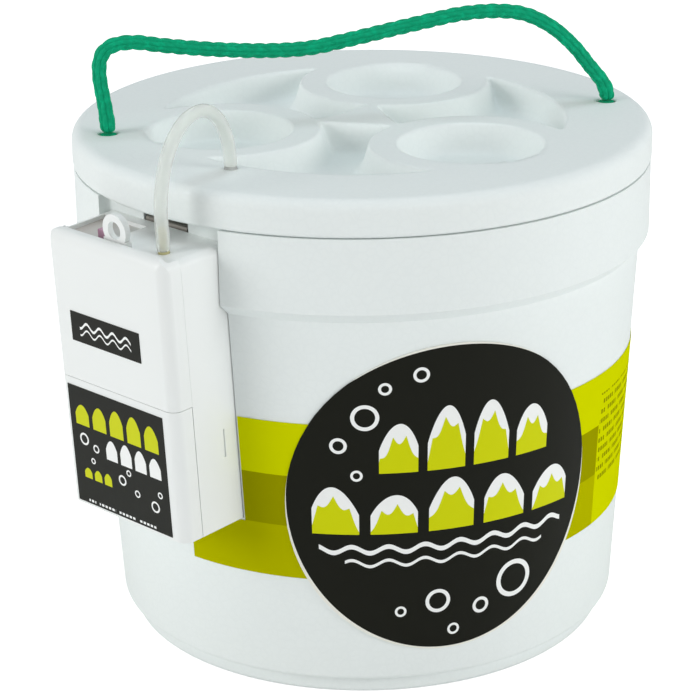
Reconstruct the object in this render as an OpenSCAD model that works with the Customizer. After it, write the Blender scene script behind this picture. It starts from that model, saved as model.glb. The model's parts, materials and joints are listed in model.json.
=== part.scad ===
// Aerated bait bucket: a moulded foam pail with a tray lid, a rope handle through lid and rim,
// and a battery air pump that sits in a seat in the wall and feeds a stone through a hose.
// Millimetres. The origin is the centre of the base. The front of the pail faces -Y.

/* [Bucket] */
// Height of the rim above the base
bucket_h = 232; // [210:1:260]
// Outer radius of the wall at the base
base_r = 124; // [118:1:130]
// Outer radius of the wall just under the collar
neck_r = 135; // [132:0.5:137]
// How far the collar stands out from the wall
collar_step = 4.6; // [3:0.2:8]
// Height of the collar
collar_h = 40; // [36:1:47]
// Height of the slope under the collar
collar_slope = 5; // [2:0.5:7]
// How far the foot ring is set back from the wall
foot_inset = 4.5; // [2:0.5:8]
// Height of the foot ring
foot_h = 9; // [5:0.5:14]
// Radius of the rounded edges of the foot
foot_round = 3; // [1:0.5:4]
// Thickness of the bottom
floor_t = 22; // [16:1:28]
// Thickness of the wall at the bottom
base_wall = 22; // [20:0.5:24]
// Width of the rim
rim_w = 27.6; // [26:0.2:29]
// Radius of the curve between the hollow's floor and wall
cavity_round = 10; // [4:1:14]

/* [Lid] */
// How far the lid stands out over the collar
lid_overhang = 0.4; // [0:0.2:2]
// Thickness of the lid's rim
lid_t = 17.1; // [14:0.1:22]
// Radius of the lid's upper edge
lid_round = 5.7; // [3:0.1:7]
// Gap between lid and rim
lid_gap = 0.3; // [0.2:0.1:0.6]
// Depth of the plug under the lid
plug_h = 16; // [12:1:17]
// Gap between the plug and the hollow's wall at the rim
plug_gap = 1.8; // [1:0.1:2.5]
// How much the plug narrows downwards
plug_draft = 1.2; // [0.6:0.1:2]
// Depth of the trays in the lid
tray_depth = 14; // [8:0.5:18]
// Radius of a round tray
bowl_r = 34; // [28:0.5:36]
// Distance of the round trays from the middle
bowl_place_r = 70; // [66:0.5:72]
// Radius of the curve at the bottom of a round tray
bowl_round = 8; // [4:0.5:8]
// Width of the rib between a round tray and its neighbours
tray_rib = 14; // [10:0.5:16]
// Width of the lid's plug outside the fan trays
fan_margin = 12.2; // [11:0.2:18]
// Distance of the inner edge of a fan tray from the middle
fan_inner = 13; // [10:0.5:16]
// How much the walls of a fan tray lean in from the lid's top to the tray's floor
tray_draft = 4; // [1:0.5:6]
// Direction of the first round tray, from the front towards the right
tray_az = 48.4; // [44:0.2:52]

/* [Rope] */
// Diameter of the rope
rope_d = 7.4; // [6:0.2:8]
// Gap between the rope and its holes, all round
rope_gap = 0.8; // [0.5:0.1:1.2]
// Distance of the rope holes from the inner edge of the rim
rope_inset = 11; // [9:0.5:12]
// Direction of the left rope hole, from the front towards the right
rope_az = -76.5; // [-80:0.5:-72]
// Diameter of the knot
knot_d = 16; // [14:0.5:17]
// Height of the knot
knot_h = 13; // [10:0.5:14]
// Foam left above the knot
knot_cover = 18; // [17.5:0.5:20]
// Gap round the knot in its pocket
knot_gap = 2; // [1.5:0.5:2.5]

/* [Air hose] */
// Outer diameter of the hose
hose_d = 6.2; // [5.6:0.1:6.6]
// Bore of the hose
hose_bore = 4; // [3.6:0.1:4.4]
// Gap between the hose and its hole in the lid, all round
hose_gap = 0.4; // [0.3:0.1:0.6]
// Diameter of the air stone
stone_d = 14; // [10:0.5:15]
// Length of the air stone
stone_h = 26; // [20:1:30]

/* [Pump case] */
// Height of the room over the shelf, for motor and pump
pump_room_h = 62.4; // [60:0.2:68]
// How far the front shell stands above the rear case
lip_h = 2.5; // [1.5:0.1:3]
// Wall of the case
case_wall = 1.9; // [1.6:0.1:2]
// Radius of the front corners
case_front_r = 5.5; // [4:0.5:10]
// Radius of the rear corners
case_rear_r = 3; // [2.5:0.5:5]
// Radius of the upper corners of the front shell, seen from the front
front_top_r = 6.5; // [2:0.5:8]
// Radius of the upper corners of the rear case, seen from the front
rear_top_r = 4; // [1:0.5:4]
// Radius of the edge between the case's bottom and its back
case_low_r = 3.6; // [1:0.2:3.8]
// Depth of the front shells
seam_y = 11; // [10:0.25:11]
// How far the battery door ends under the shelf
split_drop = 3.4; // [2.5:0.1:4.5]
// Gap round the battery door
door_gap = 0.3; // [0.3:0.1:0.5]
// Gap between the pump and its seat in the wall
seat_gap = 0.5; // [0.3:0.1:1.2]

/* [Pump place] */
// Direction of the pump, from the front towards the right
pump_az = -42; // [-44:0.5:-39]
// Depth of the pump's seat in the wall
seat_depth = 8.4; // [7:0.1:9]
// How far the pump's top is below the rim
pump_drop = 7.2; // [6:0.2:12]

/* [Hanging ring and clip] */
// Outer diameter of the hanging ring
ring_d = 15.4; // [13:0.2:16]
// Bore of the hanging ring
ring_bore = 8.4; // [6:0.2:9]
// Thickness of the hanging ring
ring_t = 3; // [2:0.5:4]
// Width of the steel clip
clip_w = 28; // [24:1:44]
// Thickness of the clip's steel
clip_t = 1; // [0.8:0.1:1.2]
// Gap between the clip's two legs
clip_span = 6; // [5.6:0.1:6.4]
// Length of the clip's tongue
clip_tongue = 32; // [24:1:36]

/* [Motor and pump] */
// Diameter of the motor
motor_d = 22; // [20:0.5:22.5]
// Length of the motor's steel can
motor_len = 21.5; // [19:0.5:21.5]
// Diameter of the motor shaft
shaft_d = 2; // [1.6:0.1:2.4]
// Running gap between a shaft or pin and its bearing
run_gap = 0.05; // [0.02:0.01:0.09]
// Diameter of the eccentric
eccentric_d = 9; // [8:0.5:9]
// Offset of the eccentric
eccentric_throw = 0.8; // [0.6:0.1:0.8]
// Diameter of the pivot pin of the swing arm
pivot_d = 2.4; // [2:0.1:2.6]
// Thickness of the swing arm
arm_t = 4; // [3:0.5:4]
// Height of the pump head
head_h = 20; // [16:0.5:22]
// Diameter of the diaphragm
diaphragm_d = 24; // [20:0.5:24]

/* [Batteries] */
// Gap between the two cells
cell_gap = 0.8; // [0.4:0.1:1.5]
// Room between a cell and the side of the case
cell_side = 4; // [3:0.1:4.5]
// Room between a cell and the front or back of the case
cell_play = 0.6; // [0.3:0.1:1.5]
// Diameter of a cell
cell_d = 33.4; // [32.4:0.1:33.6]
// Length of a cell with its nub
cell_h = 61.5; // [60:0.1:61.5]
// Diameter of a cell's nub
nub_d = 9.5; // [9:0.1:10]
// Height of a cell's nub
nub_h = 1.5; // [1:0.1:2]
// Thickness of the contact plates
contact_t = 0.5; // [0.4:0.1:0.6]

/* [Labels] */
// Thickness of a label
label_t = 0.3; // [0.2:0.05:0.4]
// Height of the band's lower edge
band_z = 62.6; // [58:0.2:66]
// Height of the band
band_h = 79.2; // [70:0.2:90]
// Direction in which the band starts, from the front towards the right
band_az = -37.5; // [-38:0.5:-34]
// Angle that the band goes round
band_sweep = 337; // [320:1:338]
// Distance of the round label from the foot ring
disc_low = 15.2; // [12:0.2:24]
// Distance of the round label from the collar
disc_high = 12.4; // [8:0.2:20]
// Direction of the round label's centre, from the front towards the right
disc_az = 19.6; // [17:0.2:24]
// Width of the upper label on the pump
upper_label_w = 47; // [30:1:52]
// Height of the upper label on the pump
upper_label_h = 14.5; // [8:0.5:20]
// Distance of the upper label from the case's left side
upper_label_x = 13; // [11:0.5:18]
// Distance of the upper label from the door's joint
upper_label_z = 20; // [6:1:30]
// Distance of the lower label from the case's left side
lower_label_left = 5.5; // [3:0.5:12]
// Distance of the lower label from the case's right side
lower_label_right = 8.5; // [3:0.5:12]
// Distance of the lower label from the door's lower edge
lower_label_low = 1.5; // [1:0.5:5]
// Distance of the lower label from the door's joint
lower_label_high = 3.7; // [1:0.1:6]

/* [Hidden] */
$fn = 96;
// Names of all pieces

foam = [0.93, 0.95, 0.95];
shell_white = [0.95, 0.96, 0.95];
rope_green = [0, 0.66, 0.47];
chartreuse = [0.75, 0.78, 0.05];
label_black = [0.05, 0.05, 0.05];
hose_clear = [0.85, 0.87, 0.84, 0.6];
steel = [0.66, 0.66, 0.66];
dark_grey = [0.27, 0.24, 0.22];

// Heights and radii that follow from the sizes above
collar_r = neck_r + collar_step;
collar_z = bucket_h - collar_h;
collar_taper = (neck_r - base_r) / collar_z;
foot_r = base_r - foot_inset;
cavity_base_r = base_r - base_wall;
cavity_rim_r = collar_r - rim_w;
lid_r = collar_r + lid_overhang;
lid_z = bucket_h + lid_gap;
lid_top = lid_z + lid_t;
plug_top_r = cavity_rim_r - plug_gap;
fan_r = plug_top_r - fan_margin;
rope_r = cavity_rim_r + rope_inset;
rope_hole_d = rope_d + 2 * rope_gap;
knot_top = bucket_h - knot_cover;
knot_seat = 0.3;
knot_pocket_h = knot_h + 2 * knot_gap;
skin_gap = 0.1;
hinge_lift = rope_d / 2 + 0.5;
arc_steps = 8;

function wall_r(z) = base_r + collar_taper * z;

// The case takes its size from the two cells, the contacts and the room for the pump
contact_h = 2.6;
top_contact_h = 1.4;
cell_low = case_wall + contact_t + contact_h;
shelf_t = 1.8;
shelf_z = cell_low + cell_h + top_contact_h + contact_t;
shelf_top = shelf_z + shelf_t;
rear_h = shelf_top + pump_room_h + case_wall;
case_h = rear_h + lip_h;
case_w = 2 * cell_d + cell_gap + 2 * cell_side + 2 * case_wall;
case_d = cell_d + 2 * cell_play + 2 * case_wall;
split_z = shelf_z - split_drop;
// The pump leans as the wall does, and its back lies in the seat
pump_lean = atan(collar_taper);
pump_z = bucket_h - pump_drop - case_h * cos(pump_lean);
pump_front_r = wall_r(pump_z) + case_d - seat_depth;

// Points of an arc, from one angle to another
function arc_points(cx, cy, r, a0, a1, n = arc_steps) =
    [for (i = [0:n]) [cx + r * cos(a0 + (a1 - a0) * i / n), cy + r * sin(a0 + (a1 - a0) * i / n)]];

// A place at a direction, a distance from the axis and a height; direction 0 is the front
module at_az(az, r, z) {
    rotate([0, 0, az]) translate([0, -r, z]) children();
}

// The pump's own frame: its front face is y = 0, its depth runs along +y, its base is z = 0
module at_pump() {
    at_az(pump_az, pump_front_r, pump_z) rotate([pump_lean, 0, 0]) children();
}

// A flat outline in x and z, made solid from depth y0 to depth y1
module depth_slab(y0, y1) {
    translate([0, y1, 0]) rotate([90, 0, 0]) linear_extrude(y1 - y0) children();
}

// A round bar along the depth
module depth_bar(x, z, d, y0, y1) {
    translate([x, y0, z]) rotate([-90, 0, 0]) cylinder(h = y1 - y0, d = d);
}

// A block from its lowest to its highest corner
module block(low, high) {
    translate(low) cube(high - low);
}

// Bucket

cavity_top = bucket_h + 1;
function cavity_r(z) = cavity_base_r + (cavity_rim_r - cavity_base_r) * (z - floor_t) / (bucket_h - floor_t);

module bucket_outline() {
    polygon(concat(
        [[0, 0]],
        arc_points(foot_r - foot_round, foot_round, foot_round, -90, 0),
        [[foot_r, foot_h]],
        arc_points(wall_r(foot_h + foot_round) - foot_round, foot_h + foot_round, foot_round, -90, 0),
        [[neck_r, collar_z], [collar_r, collar_z + collar_slope], [collar_r, bucket_h], [0, bucket_h]]));
}

module cavity_outline() {
    polygon(concat(
        [[0, floor_t]],
        arc_points(cavity_base_r - cavity_round, floor_t + cavity_round, cavity_round, -90, 0),
        [[cavity_r(cavity_top), cavity_top], [0, cavity_top]]));
}

// The pocket for a knot opens into the hollow, with a hole for the rope up to the rim
module knot_pocket(az) {
    pocket_r = knot_d / 2 + knot_gap;
    at_az(az, rope_r, knot_top - knot_pocket_h) {
        cylinder(h = knot_pocket_h, r = pocket_r);
        block([-pocket_r, 0, 0], [pocket_r, pocket_r + knot_gap + 6, knot_pocket_h]);
        cylinder(h = knot_pocket_h + knot_cover + 1, d = rope_hole_d);
    }
}

// Seat for the pump, relief for the clip's leg and slot for its tongue
seat_touch = 0.1;
seat_back = case_d + seat_touch;
leg_y = case_d;
tongue_y = leg_y + clip_t + clip_span;
clip_top_z = case_h - 3;
clip_bend_r = clip_span / 2;
seat_high = bucket_h - pump_z + 20;
module pump_seat() {
    relief_w = clip_w / 2 + 1;
    web_y = tongue_y - 1.2;
    at_pump() {
        difference() {
            translate([0, 0, -seat_touch]) linear_extrude(seat_high) case_plan(-seat_gap);
            block([-case_w, seat_back, -1], [case_w, seat_back + 10, seat_high + 1]);
        }
        block([-relief_w, seat_back - 1, clip_top_z - 38], [relief_w, leg_y + 3, seat_high]);
        block([-relief_w, web_y, clip_top_z - clip_tongue - 6], [relief_w, tongue_y + clip_t + 1.4, seat_high]);
        block([-relief_w, seat_back - 1, clip_top_z - 3], [relief_w, tongue_y + clip_t + 1.4, seat_high]);
    }
}

module bucket() {
    color(foam) difference() {
        rotate_extrude() bucket_outline();
        rotate_extrude() cavity_outline();
        knot_pocket(rope_az);
        knot_pocket(rope_az + 180);
        pump_seat();
    }
}

// Lid

module lid_outline() {
    polygon(concat(
        [[0, lid_z - plug_h], [plug_top_r - plug_draft, lid_z - plug_h], [plug_top_r, lid_z], [lid_r, lid_z]],
        arc_points(lid_r - lid_round, lid_top - lid_round, lid_round, 0, 90),
        [[0, lid_top]]));
}

module bowl_tray() {
    rotate_extrude() polygon(concat(
        [[0, lid_top - tray_depth]],
        arc_points(bowl_r - bowl_round, lid_top - tray_depth + bowl_round, bowl_round, -90, 0),
        [[bowl_r, lid_top + 1], [0, lid_top + 1]]));
}

// A fan tray: a piece of a circle whose sides run round the two neighbouring bowls, all walls leaning
module fan_tray(az) {
    cut_h = tray_depth + 1;
    lean = tray_draft / tray_depth;
    rib_r = bowl_r + tray_rib;
    rotate([0, 0, az]) translate([0, 0, lid_top - tray_depth]) difference() {
        cylinder(h = cut_h, r1 = fan_r - tray_draft, r2 = fan_r + lean);
        translate([0, -fan_inner, tray_depth]) rotate([-atan(lean), 0, 0])
            block([-2 * fan_r, 0, -2 * tray_depth], [2 * fan_r, 2 * fan_r, 3 * fan_r]);
        for (side = [-60, 60]) at_az(side, bowl_place_r, -1)
            cylinder(h = cut_h + 2, r1 = rib_r + tray_draft + lean, r2 = rib_r - 2 * lean);
    }
}

hose_az = -32.6;
module lid() {
    color(foam) difference() {
        rotate_extrude() lid_outline();
        for (i = [0:2]) at_az(tray_az + 120 * i, bowl_place_r, 0) bowl_tray();
        for (i = [0:2]) fan_tray(tray_az + 60 + 120 * i);
        for (az = [rope_az, rope_az + 180])
            at_az(az, rope_r, lid_z - 1) cylinder(h = lid_t + 2, d = rope_hole_d);
        at_az(hose_az, drop_route[0][0], lid_z - plug_h - 1)
            cylinder(h = plug_h + lid_t + 2, d = hose_d + 2 * hose_gap);
    }
}

// Labels on the bucket

// A thin skin on the wall, from offset t0 to offset t1
module wall_skin(z0, z1, t0, t1) {
    polygon([[wall_r(z0) + t0, z0], [wall_r(z0) + t1, z0], [wall_r(z1) + t1, z1], [wall_r(z1) + t0, z1]]);
}

module pump_shadow() {
    margin = seat_gap + 0.7;
    at_pump() block([-case_w / 2 - margin, -30, -margin], [case_w / 2 + margin, 60, case_h]);
}

// The band, from offset t0 to offset t1 off the wall, and longer by more at both edges
module band_shape(t0, t1, more) {
    rotate([0, 0, band_az - 90]) rotate_extrude(angle = band_sweep)
        wall_skin(band_z - more, band_z + band_h + more, t0, t1);
}

module wrap_band() {
    color(chartreuse) difference() {
        band_shape(skin_gap, skin_gap + label_t, 0);
        pump_shadow();
    }
}

// The round label keeps its true radius along the wall, so its width across is a little less
disc_r = (collar_z - foot_h - disc_low - disc_high) / 2;
disc_z = foot_h + disc_low + disc_r;
disc_wall_r = wall_r(disc_z);
disc_points = [for (i = [0:71]) [
    disc_wall_r * sin(disc_r * cos(5 * i) / disc_wall_r * 180 / PI),
    disc_r * sin(5 * i)]];
module disc_label() {
    over_band = label_t + 2 * skin_gap;
    color(label_black) difference() {
        intersection() {
            rotate_extrude() wall_skin(disc_z - disc_r - 1, disc_z + disc_r + 1, skin_gap, over_band + label_t);
            at_az(disc_az, 0, disc_z) depth_slab(-2 * disc_wall_r, -disc_wall_r / 2) polygon(disc_points);
        }
        band_shape(-1, over_band, skin_gap);
    }
}

// Swept tubes

function unit(v) = v / norm(v);
function tangent(p, i) = unit(p[min(i + 1, len(p) - 1)] - p[max(i - 1, 0)]);
// Points of one ring round point i, of radius r; side is a direction square to the whole route
function ring_points(p, i, r, side, sides) =
    let (t = tangent(p, i), n = unit(cross(t, side)))
    [for (k = [0:sides - 1]) p[i] + r * (cos(360 * k / sides) * side + sin(360 * k / sides) * n)];
// Smooth points through the route's own points, by a curve of the third degree
function curve(a, b, c, d, u) =
    0.5 * (2 * b + (c - a) * u + (2 * a - 5 * b + 4 * c - d) * u * u + (3 * b - a - 3 * c + d) * u * u * u);
function smooth(p, per) = concat(
    [for (i = [0:len(p) - 2]) for (j = [0:per - 1])
        curve(i == 0 ? 2 * p[0] - p[1] : p[i - 1], p[i], p[i + 1],
            i == len(p) - 2 ? 2 * p[i + 1] - p[i] : p[i + 2], j / per)],
    [p[len(p) - 1]]);

// Faces between ring a and ring b, seen from outside
function band_faces(a, b, sides) = [for (k = [0:sides - 1]) each [
    [a + k, b + k, b + (k + 1) % sides],
    [a + k, b + (k + 1) % sides, a + (k + 1) % sides]]];

// A hollow tube along the route, open at both ends
module hollow_tube(p, d, bore, side, sides = 10) {
    n = len(p);
    outer = [for (i = [0:n - 1]) each ring_points(p, i, d / 2, side, sides)];
    inner = [for (i = [0:n - 1]) each ring_points(p, i, bore / 2, side, sides)];
    m = n * sides;
    polyhedron(concat(outer, inner), concat(
        [for (i = [0:n - 2]) each band_faces(i * sides, (i + 1) * sides, sides)],
        [for (i = [0:n - 2]) each band_faces(m + (i + 1) * sides, m + i * sides, sides)],
        band_faces(m, 0, sides),
        band_faces((n - 1) * sides, m + (n - 1) * sides, sides)));
}

// A solid cord along the route, with round ends that keep to the end points
module round_cord(p, d, side, sides = 12) {
    n = len(p);
    cap = [30, 60, 80];
    r = d / 2;
    t0 = tangent(p, 0);
    t1 = tangent(p, n - 1);
    first = [for (c = [len(cap) - 1:-1:0]) each
        [for (q = ring_points(p, 0, r * cos(cap[c]), side, sides)) q - r * sin(cap[c]) * t0]];
    middle = [for (i = [0:n - 1]) each ring_points(p, i, r, side, sides)];
    last = [for (c = [0:len(cap) - 1]) each
        [for (q = ring_points(p, n - 1, r * cos(cap[c]), side, sides)) q + r * sin(cap[c]) * t1]];
    rings = n + 2 * len(cap);
    polyhedron(concat(first, middle, last), concat(
        [for (i = [0:rings - 2]) each band_faces(i * sides, (i + 1) * sides, sides)],
        [for (k = [1:sides - 2]) [0, k, k + 1]],
        [for (k = [1:sides - 2]) [(rings - 1) * sides, (rings - 1) * sides + k + 1, (rings - 1) * sides + k]]));
}

// Rope

// The arch of the handle, as a share of the distance to the holes and as height above the lid
rope_route = [[-1, hinge_lift], [-1.006, 12], [-1.015, 20], [-1.022, 28], [-1.018, 35], [-0.995, 40.2],
    [-0.945, 42.9], [-0.87, 43], [-0.79, 41.2], [-0.65, 38.6], [-0.5, 36.5], [-0.34, 35.2],
    [-0.2, 35.4], [-0.06, 38], [0.1, 41.5], [0.25, 44.7], [0.4, 47.6], [0.54, 48], [0.66, 45.6],
    [0.77, 38.5], [0.86, 28.5], [0.925, 18.5], [0.98, 10], [1, hinge_lift]];
handle_points = [for (q = rope_route) [rope_r * q[0], 0, q[1]]];
module rope_handle() {
    color(rope_green) rotate([0, 0, rope_az + 90]) translate([0, 0, lid_top])
        round_cord(handle_points, rope_d, [0, 1, 0]);
}

module rope_leg(az) {
    color(rope_green) at_az(az, rope_r, knot_top - knot_seat)
        cylinder(h = knot_cover + knot_seat + lid_gap + lid_t + 0.2, d = rope_d);
}
module rope_leg_left() rope_leg(rope_az);
module rope_leg_right() rope_leg(rope_az + 180);

// A barrel-shaped knot
module rope_knot(az) {
    color(rope_green) at_az(az, rope_r, knot_top - knot_seat - knot_h) rotate_extrude()
        polygon(concat([[0, 0]],
            [for (i = [0:8]) [knot_d / 2 * (0.62 + 0.38 * sin(22.5 * i)), knot_h * i / 8]],
            [[0, knot_h]]));
}
module rope_knot_left() rope_knot(rope_az);
module rope_knot_right() rope_knot(rope_az + 180);

// Air hose

nipple_x = 25.3;
nipple_y = 14.5;
nipple_z = 146;
// The hose from the pump to the lid, as distance from the bucket's axis and height
hose_route = [[154.5, 224.4], [154.8, 230], [155.2, 237], [155, 246], [153.4, 255.5], [150.2, 264.5],
    [145.3, 271.8], [138.8, 277.4], [131, 280.4], [122.8, 280.4], [115.6, 277], [109.8, 270.6],
    [106.2, 262.4], [104.7, 255], [104.5, 250.6]];
// The hose inside the bucket, down to the stone
drop_route = [[104.5, 250.6], [104.5, 238], [104.5, 224], [104.5, 210], [104.5, 196], [104.5, 182], [104.4, 168],
    [104, 152], [103.2, 136], [102, 120], [100.6, 106], [98.8, 92], [96.8, 80], [95.3, 70], [94.7, 64],
    [94.5, 60]];
stone_r = 94.5;
stone_top = 58;
function in_plane(q) = [0, -q[0], q[1]];
module air_hose() {
    color(hose_clear) rotate([0, 0, hose_az])
        hollow_tube([for (q = smooth(hose_route, 2)) in_plane(q)], hose_d, hose_bore, [1, 0, 0]);
}
module drop_hose() {
    color(hose_clear) rotate([0, 0, hose_az])
        hollow_tube([for (q = drop_route) in_plane(q)], hose_d, hose_bore, [1, 0, 0]);
}
module air_stone() {
    color([0.55, 0.6, 0.66]) at_az(hose_az, stone_r, stone_top - stone_h) difference() {
        cylinder(h = stone_h, d = stone_d);
        translate([0, 0, stone_h - 10]) cylinder(h = 11, d = 3.4);
    }
}
module stone_stem() {
    color(dark_grey) at_az(hose_az, stone_r, stone_top - 10) {
        cylinder(h = 18, d = 3.3);
        translate([0, 0, 10]) cylinder(h = 1.6, d = 9);
    }
}

// Pump case

// Plan of the case, drawn in by i on every side
module case_plan(i) {
    w = case_w / 2 - i;
    rf = case_front_r - i;
    rr = max(case_rear_r - i, 1);
    y1 = case_d - i;
    translate([-w + rf, i]) square([2 * (w - rf), y1 - i - rr]);
    translate([-w, i + rf]) square([2 * w, y1 - i - rf - rr]);
    translate([-w + rr, i + rf]) square([2 * (w - rr), y1 - i - rf]);
    for (s = [-1, 1]) {
        translate([s * (w - rf), i + rf]) circle(r = rf);
        translate([s * (w - rr), y1 - rr]) circle(r = rr);
    }
}

module front_plan(i) {
    intersection() {
        case_plan(i);
        translate([-case_w, -1]) square([2 * case_w, seam_y + 1]);
    }
}

module rear_plan(i) {
    intersection() {
        case_plan(i);
        translate([-case_w, seam_y]) square([2 * case_w, case_d]);
    }
}

ring_z = rear_h + ring_d / 2 - 0.4;
ring_x = 1.3;
ring_y = 7;
cell_y = case_wall + (case_d - 2 * case_wall) / 2;
cell_x = (cell_d + cell_gap) / 2;
motor_x = -15;
motor_z = shelf_top + motor_d / 2 + 8.8;
motor_y = seam_y + 2;
motor_back = case_d - case_wall;
rib_root = 0.4;
shell_gap = 0.1;
screw_x = case_w / 2 - 6.5;
pivot_x = -screw_x;
head_low = [-2, 6, motor_z + motor_d / 2 + 3];
head_high = [29, 32, head_low[2] + head_h];
diaphragm_x = 12;
diaphragm_y = 19;
screw_z = [shelf_top + 6.8, rear_h - 7];
screw_d = 2.5;
screw_head_d = 4.8;
runner_y = 3;
runner_t = 1.3;
runner_root = 4;
well_side = 9;
well_low = [well_side - case_w / 2, 5];
well_high = [ring_x - ring_d / 2 - 0.3, case_d - 5.9];
bezel_edge = 0.9;
bezel_t = 1.7;
bezel_z = rear_h - case_wall - bezel_t;

module rear_case() {
    vent_z = 41;
    color(shell_white) at_pump() difference() {
        union() {
            difference() {
                linear_extrude(rear_h) rear_plan(0);
                top_corners(rear_h, rear_top_r);
            }
            translate([0, 0, rear_h - case_wall]) linear_extrude(case_wall) roof_plan();
            depth_slab(ring_y, ring_y + ring_t) translate([ring_x, ring_z]) circle(d = ring_d);
            block([ring_x - ring_d / 2, ring_y, rear_h - 1], [ring_x + ring_d / 2, ring_y + ring_t, rear_h + 3]);
        }
        depth_bar(ring_x, ring_z, ring_bore, ring_y - 1, ring_y + ring_t + 1);
        // Battery room and pump room, with the shelf between them
        translate([0, 0, case_wall]) linear_extrude(shelf_z - case_wall) room_plan();
        translate([0, 0, shelf_top]) linear_extrude(pump_room_h) room_plan();
        // Well over the switch plate, and the outlet's hole
        block([well_low[0], well_low[1], bezel_z], [well_high[0], well_high[1], rear_h + 1]);
        translate([nipple_x, nipple_y, rear_h - 5]) cylinder(h = 10, d = 5.6);
        // Screw holes with countersinks for flat heads
        for (x = [-screw_x, screw_x]) for (z = screw_z) {
            depth_bar(x, z, screw_d + 0.3, motor_back - 1, case_d + 1);
            depth_bar(x, z, screw_head_d + 0.3, case_d - 1, case_d + 1);
        }
        // Rivet holes for the clip
        for (x = [-10, 10]) depth_bar(x, clip_top_z - 22, 3, motor_back - 1, case_d + 1);
        // Notches for the door's runners, and the slit in the side
        for (s = [-1, 1]) translate([s * (case_w / 2 - case_wall - 1.4), seam_y + 1, 0])
            cube([2.8, 2 * (runner_y + 1.5), 5], center = true);
        block([case_w / 2 - 0.8, 27.6, vent_z - 7], [case_w / 2 + 1, 28.8, vent_z + 7]);
        low_edge();
    }
    color(shell_white) at_pump() motor_ribs();
}

// What the rounds of the two upper corners take off a shell of height h
module top_corners(h, r) {
    w = case_w / 2;
    depth_slab(-1, case_d + 1) for (s = [-1, 1]) difference() {
        translate([s * (w - r / 2 + 0.5), h - r / 2 + 0.5]) square(r + 1, center = true);
        translate([s * (w - r), h - r]) circle(r = r);
    }
}

// The rear case's roof reaches forward to the inside of the front shell
module roof_plan() {
    intersection() {
        case_plan(case_wall + shell_gap);
        translate([-case_w, 0]) square([2 * case_w, seam_y + 1]);
    }
}

// What the round of the rear lower edge takes off
module low_edge() {
    difference() {
        block([-case_w, case_d - case_low_r, -1], [case_w, case_d + 1, case_low_r]);
        translate([-case_w - 1, case_d - case_low_r, case_low_r]) rotate([0, 90, 0])
            cylinder(h = 2 * case_w + 2, r = case_low_r);
    }
}

module room_plan() {
    intersection() {
        case_plan(case_wall);
        translate([-case_w, seam_y - 1]) square([2 * case_w, case_d]);
    }
}

// Two ribs that stand on the rear wall and cradle the motor from below and above
module motor_ribs() {
    difference() {
        for (z = [motor_z - motor_d / 2 - 3, motor_z + motor_d / 2 - 2])
            block([motor_x - 6, motor_y + 5, z], [motor_x + 6, motor_back + rib_root, z + 5]);
        depth_bar(motor_x, motor_z, motor_d + 0.2, motor_y, motor_back + 1);
    }
}

module screw_post(x, z) {
    depth_bar(x, z, 5.4, case_wall - 0.3, motor_back - 0.2);
}

module front_cover() {
    color(shell_white) at_pump() difference() {
        union() {
            difference() {
                translate([0, 0, split_z + door_gap]) linear_extrude(case_h - split_z - door_gap) front_plan(0);
                translate([0, 0, split_z - 1]) linear_extrude(case_h - split_z + 2) case_plan(case_wall);
                top_corners(case_h, front_top_r);
                block([-case_w, seam_y - shell_gap, 0], [case_w, seam_y + 5, case_h + 1]);
            }
            for (x = [-screw_x, screw_x]) for (z = screw_z) screw_post(x, z);
        }
        for (x = [-screw_x, screw_x]) for (z = screw_z) depth_bar(x, z, screw_d, seam_y, motor_back + 1);
    }
}

module battery_door() {
    runner_x = case_w / 2 - case_wall - door_gap;
    color(shell_white) at_pump() {
        difference() {
            linear_extrude(split_z) front_plan(0);
            translate([0, 0, case_wall]) linear_extrude(split_z) case_plan(case_wall);
            block([-case_w, seam_y - door_gap, -1], [case_w, seam_y + 5, split_z + 1]);
        }
        for (s = [-1, 1]) translate([s * (runner_x - runner_t / 2), 0, 0]) {
            block([-runner_t / 2, seam_y - runner_root, 4], [runner_t / 2, seam_y + runner_y, split_z - 5]);
            block([-runner_t, seam_y - runner_root, 4], [runner_t, seam_y - door_gap, split_z - 5]);
        }
    }
}

// A label that lies on the front and follows its rounded corners
module front_label(x0, x1, z0, z1) {
    color(label_black) at_pump() translate([0, 0, z0]) linear_extrude(z1 - z0) intersection() {
        difference() {
            case_plan(-label_t);
            case_plan(0);
        }
        translate([x0, -1]) square([x1 - x0, case_front_r]);
    }
}
module upper_label() {
    x0 = upper_label_x - case_w / 2;
    z0 = split_z + upper_label_z;
    front_label(x0, x0 + upper_label_w, z0, z0 + upper_label_h);
}
module lower_label() {
    front_label(lower_label_left - case_w / 2, case_w / 2 - lower_label_right,
        lower_label_low, split_z - lower_label_high);
}

// Clip on the back: a leg on the case, a half-round bend and a tongue in the bucket's slot
module belt_clip() {
    bend_y = leg_y + clip_t + clip_bend_r;
    color(steel) at_pump() difference() {
        union() {
            block([-clip_w / 2, leg_y, clip_top_z - 30], [clip_w / 2, leg_y + clip_t, clip_top_z]);
            block([-clip_w / 2, tongue_y, clip_top_z - clip_tongue], [clip_w / 2, tongue_y + clip_t, clip_top_z]);
            translate([-clip_w / 2, bend_y, clip_top_z]) rotate([0, 90, 0]) difference() {
                cylinder(h = clip_w, r = clip_bend_r + clip_t);
                translate([0, 0, -1]) cylinder(h = clip_w + 2, r = clip_bend_r);
                translate([0, -20, -1]) cube([20, 40, clip_w + 2]);
            }
        }
        for (x = [-10, 10]) depth_bar(x, clip_top_z - 22, 3, leg_y - 1, leg_y + clip_t + 1);
    }
}

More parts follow.
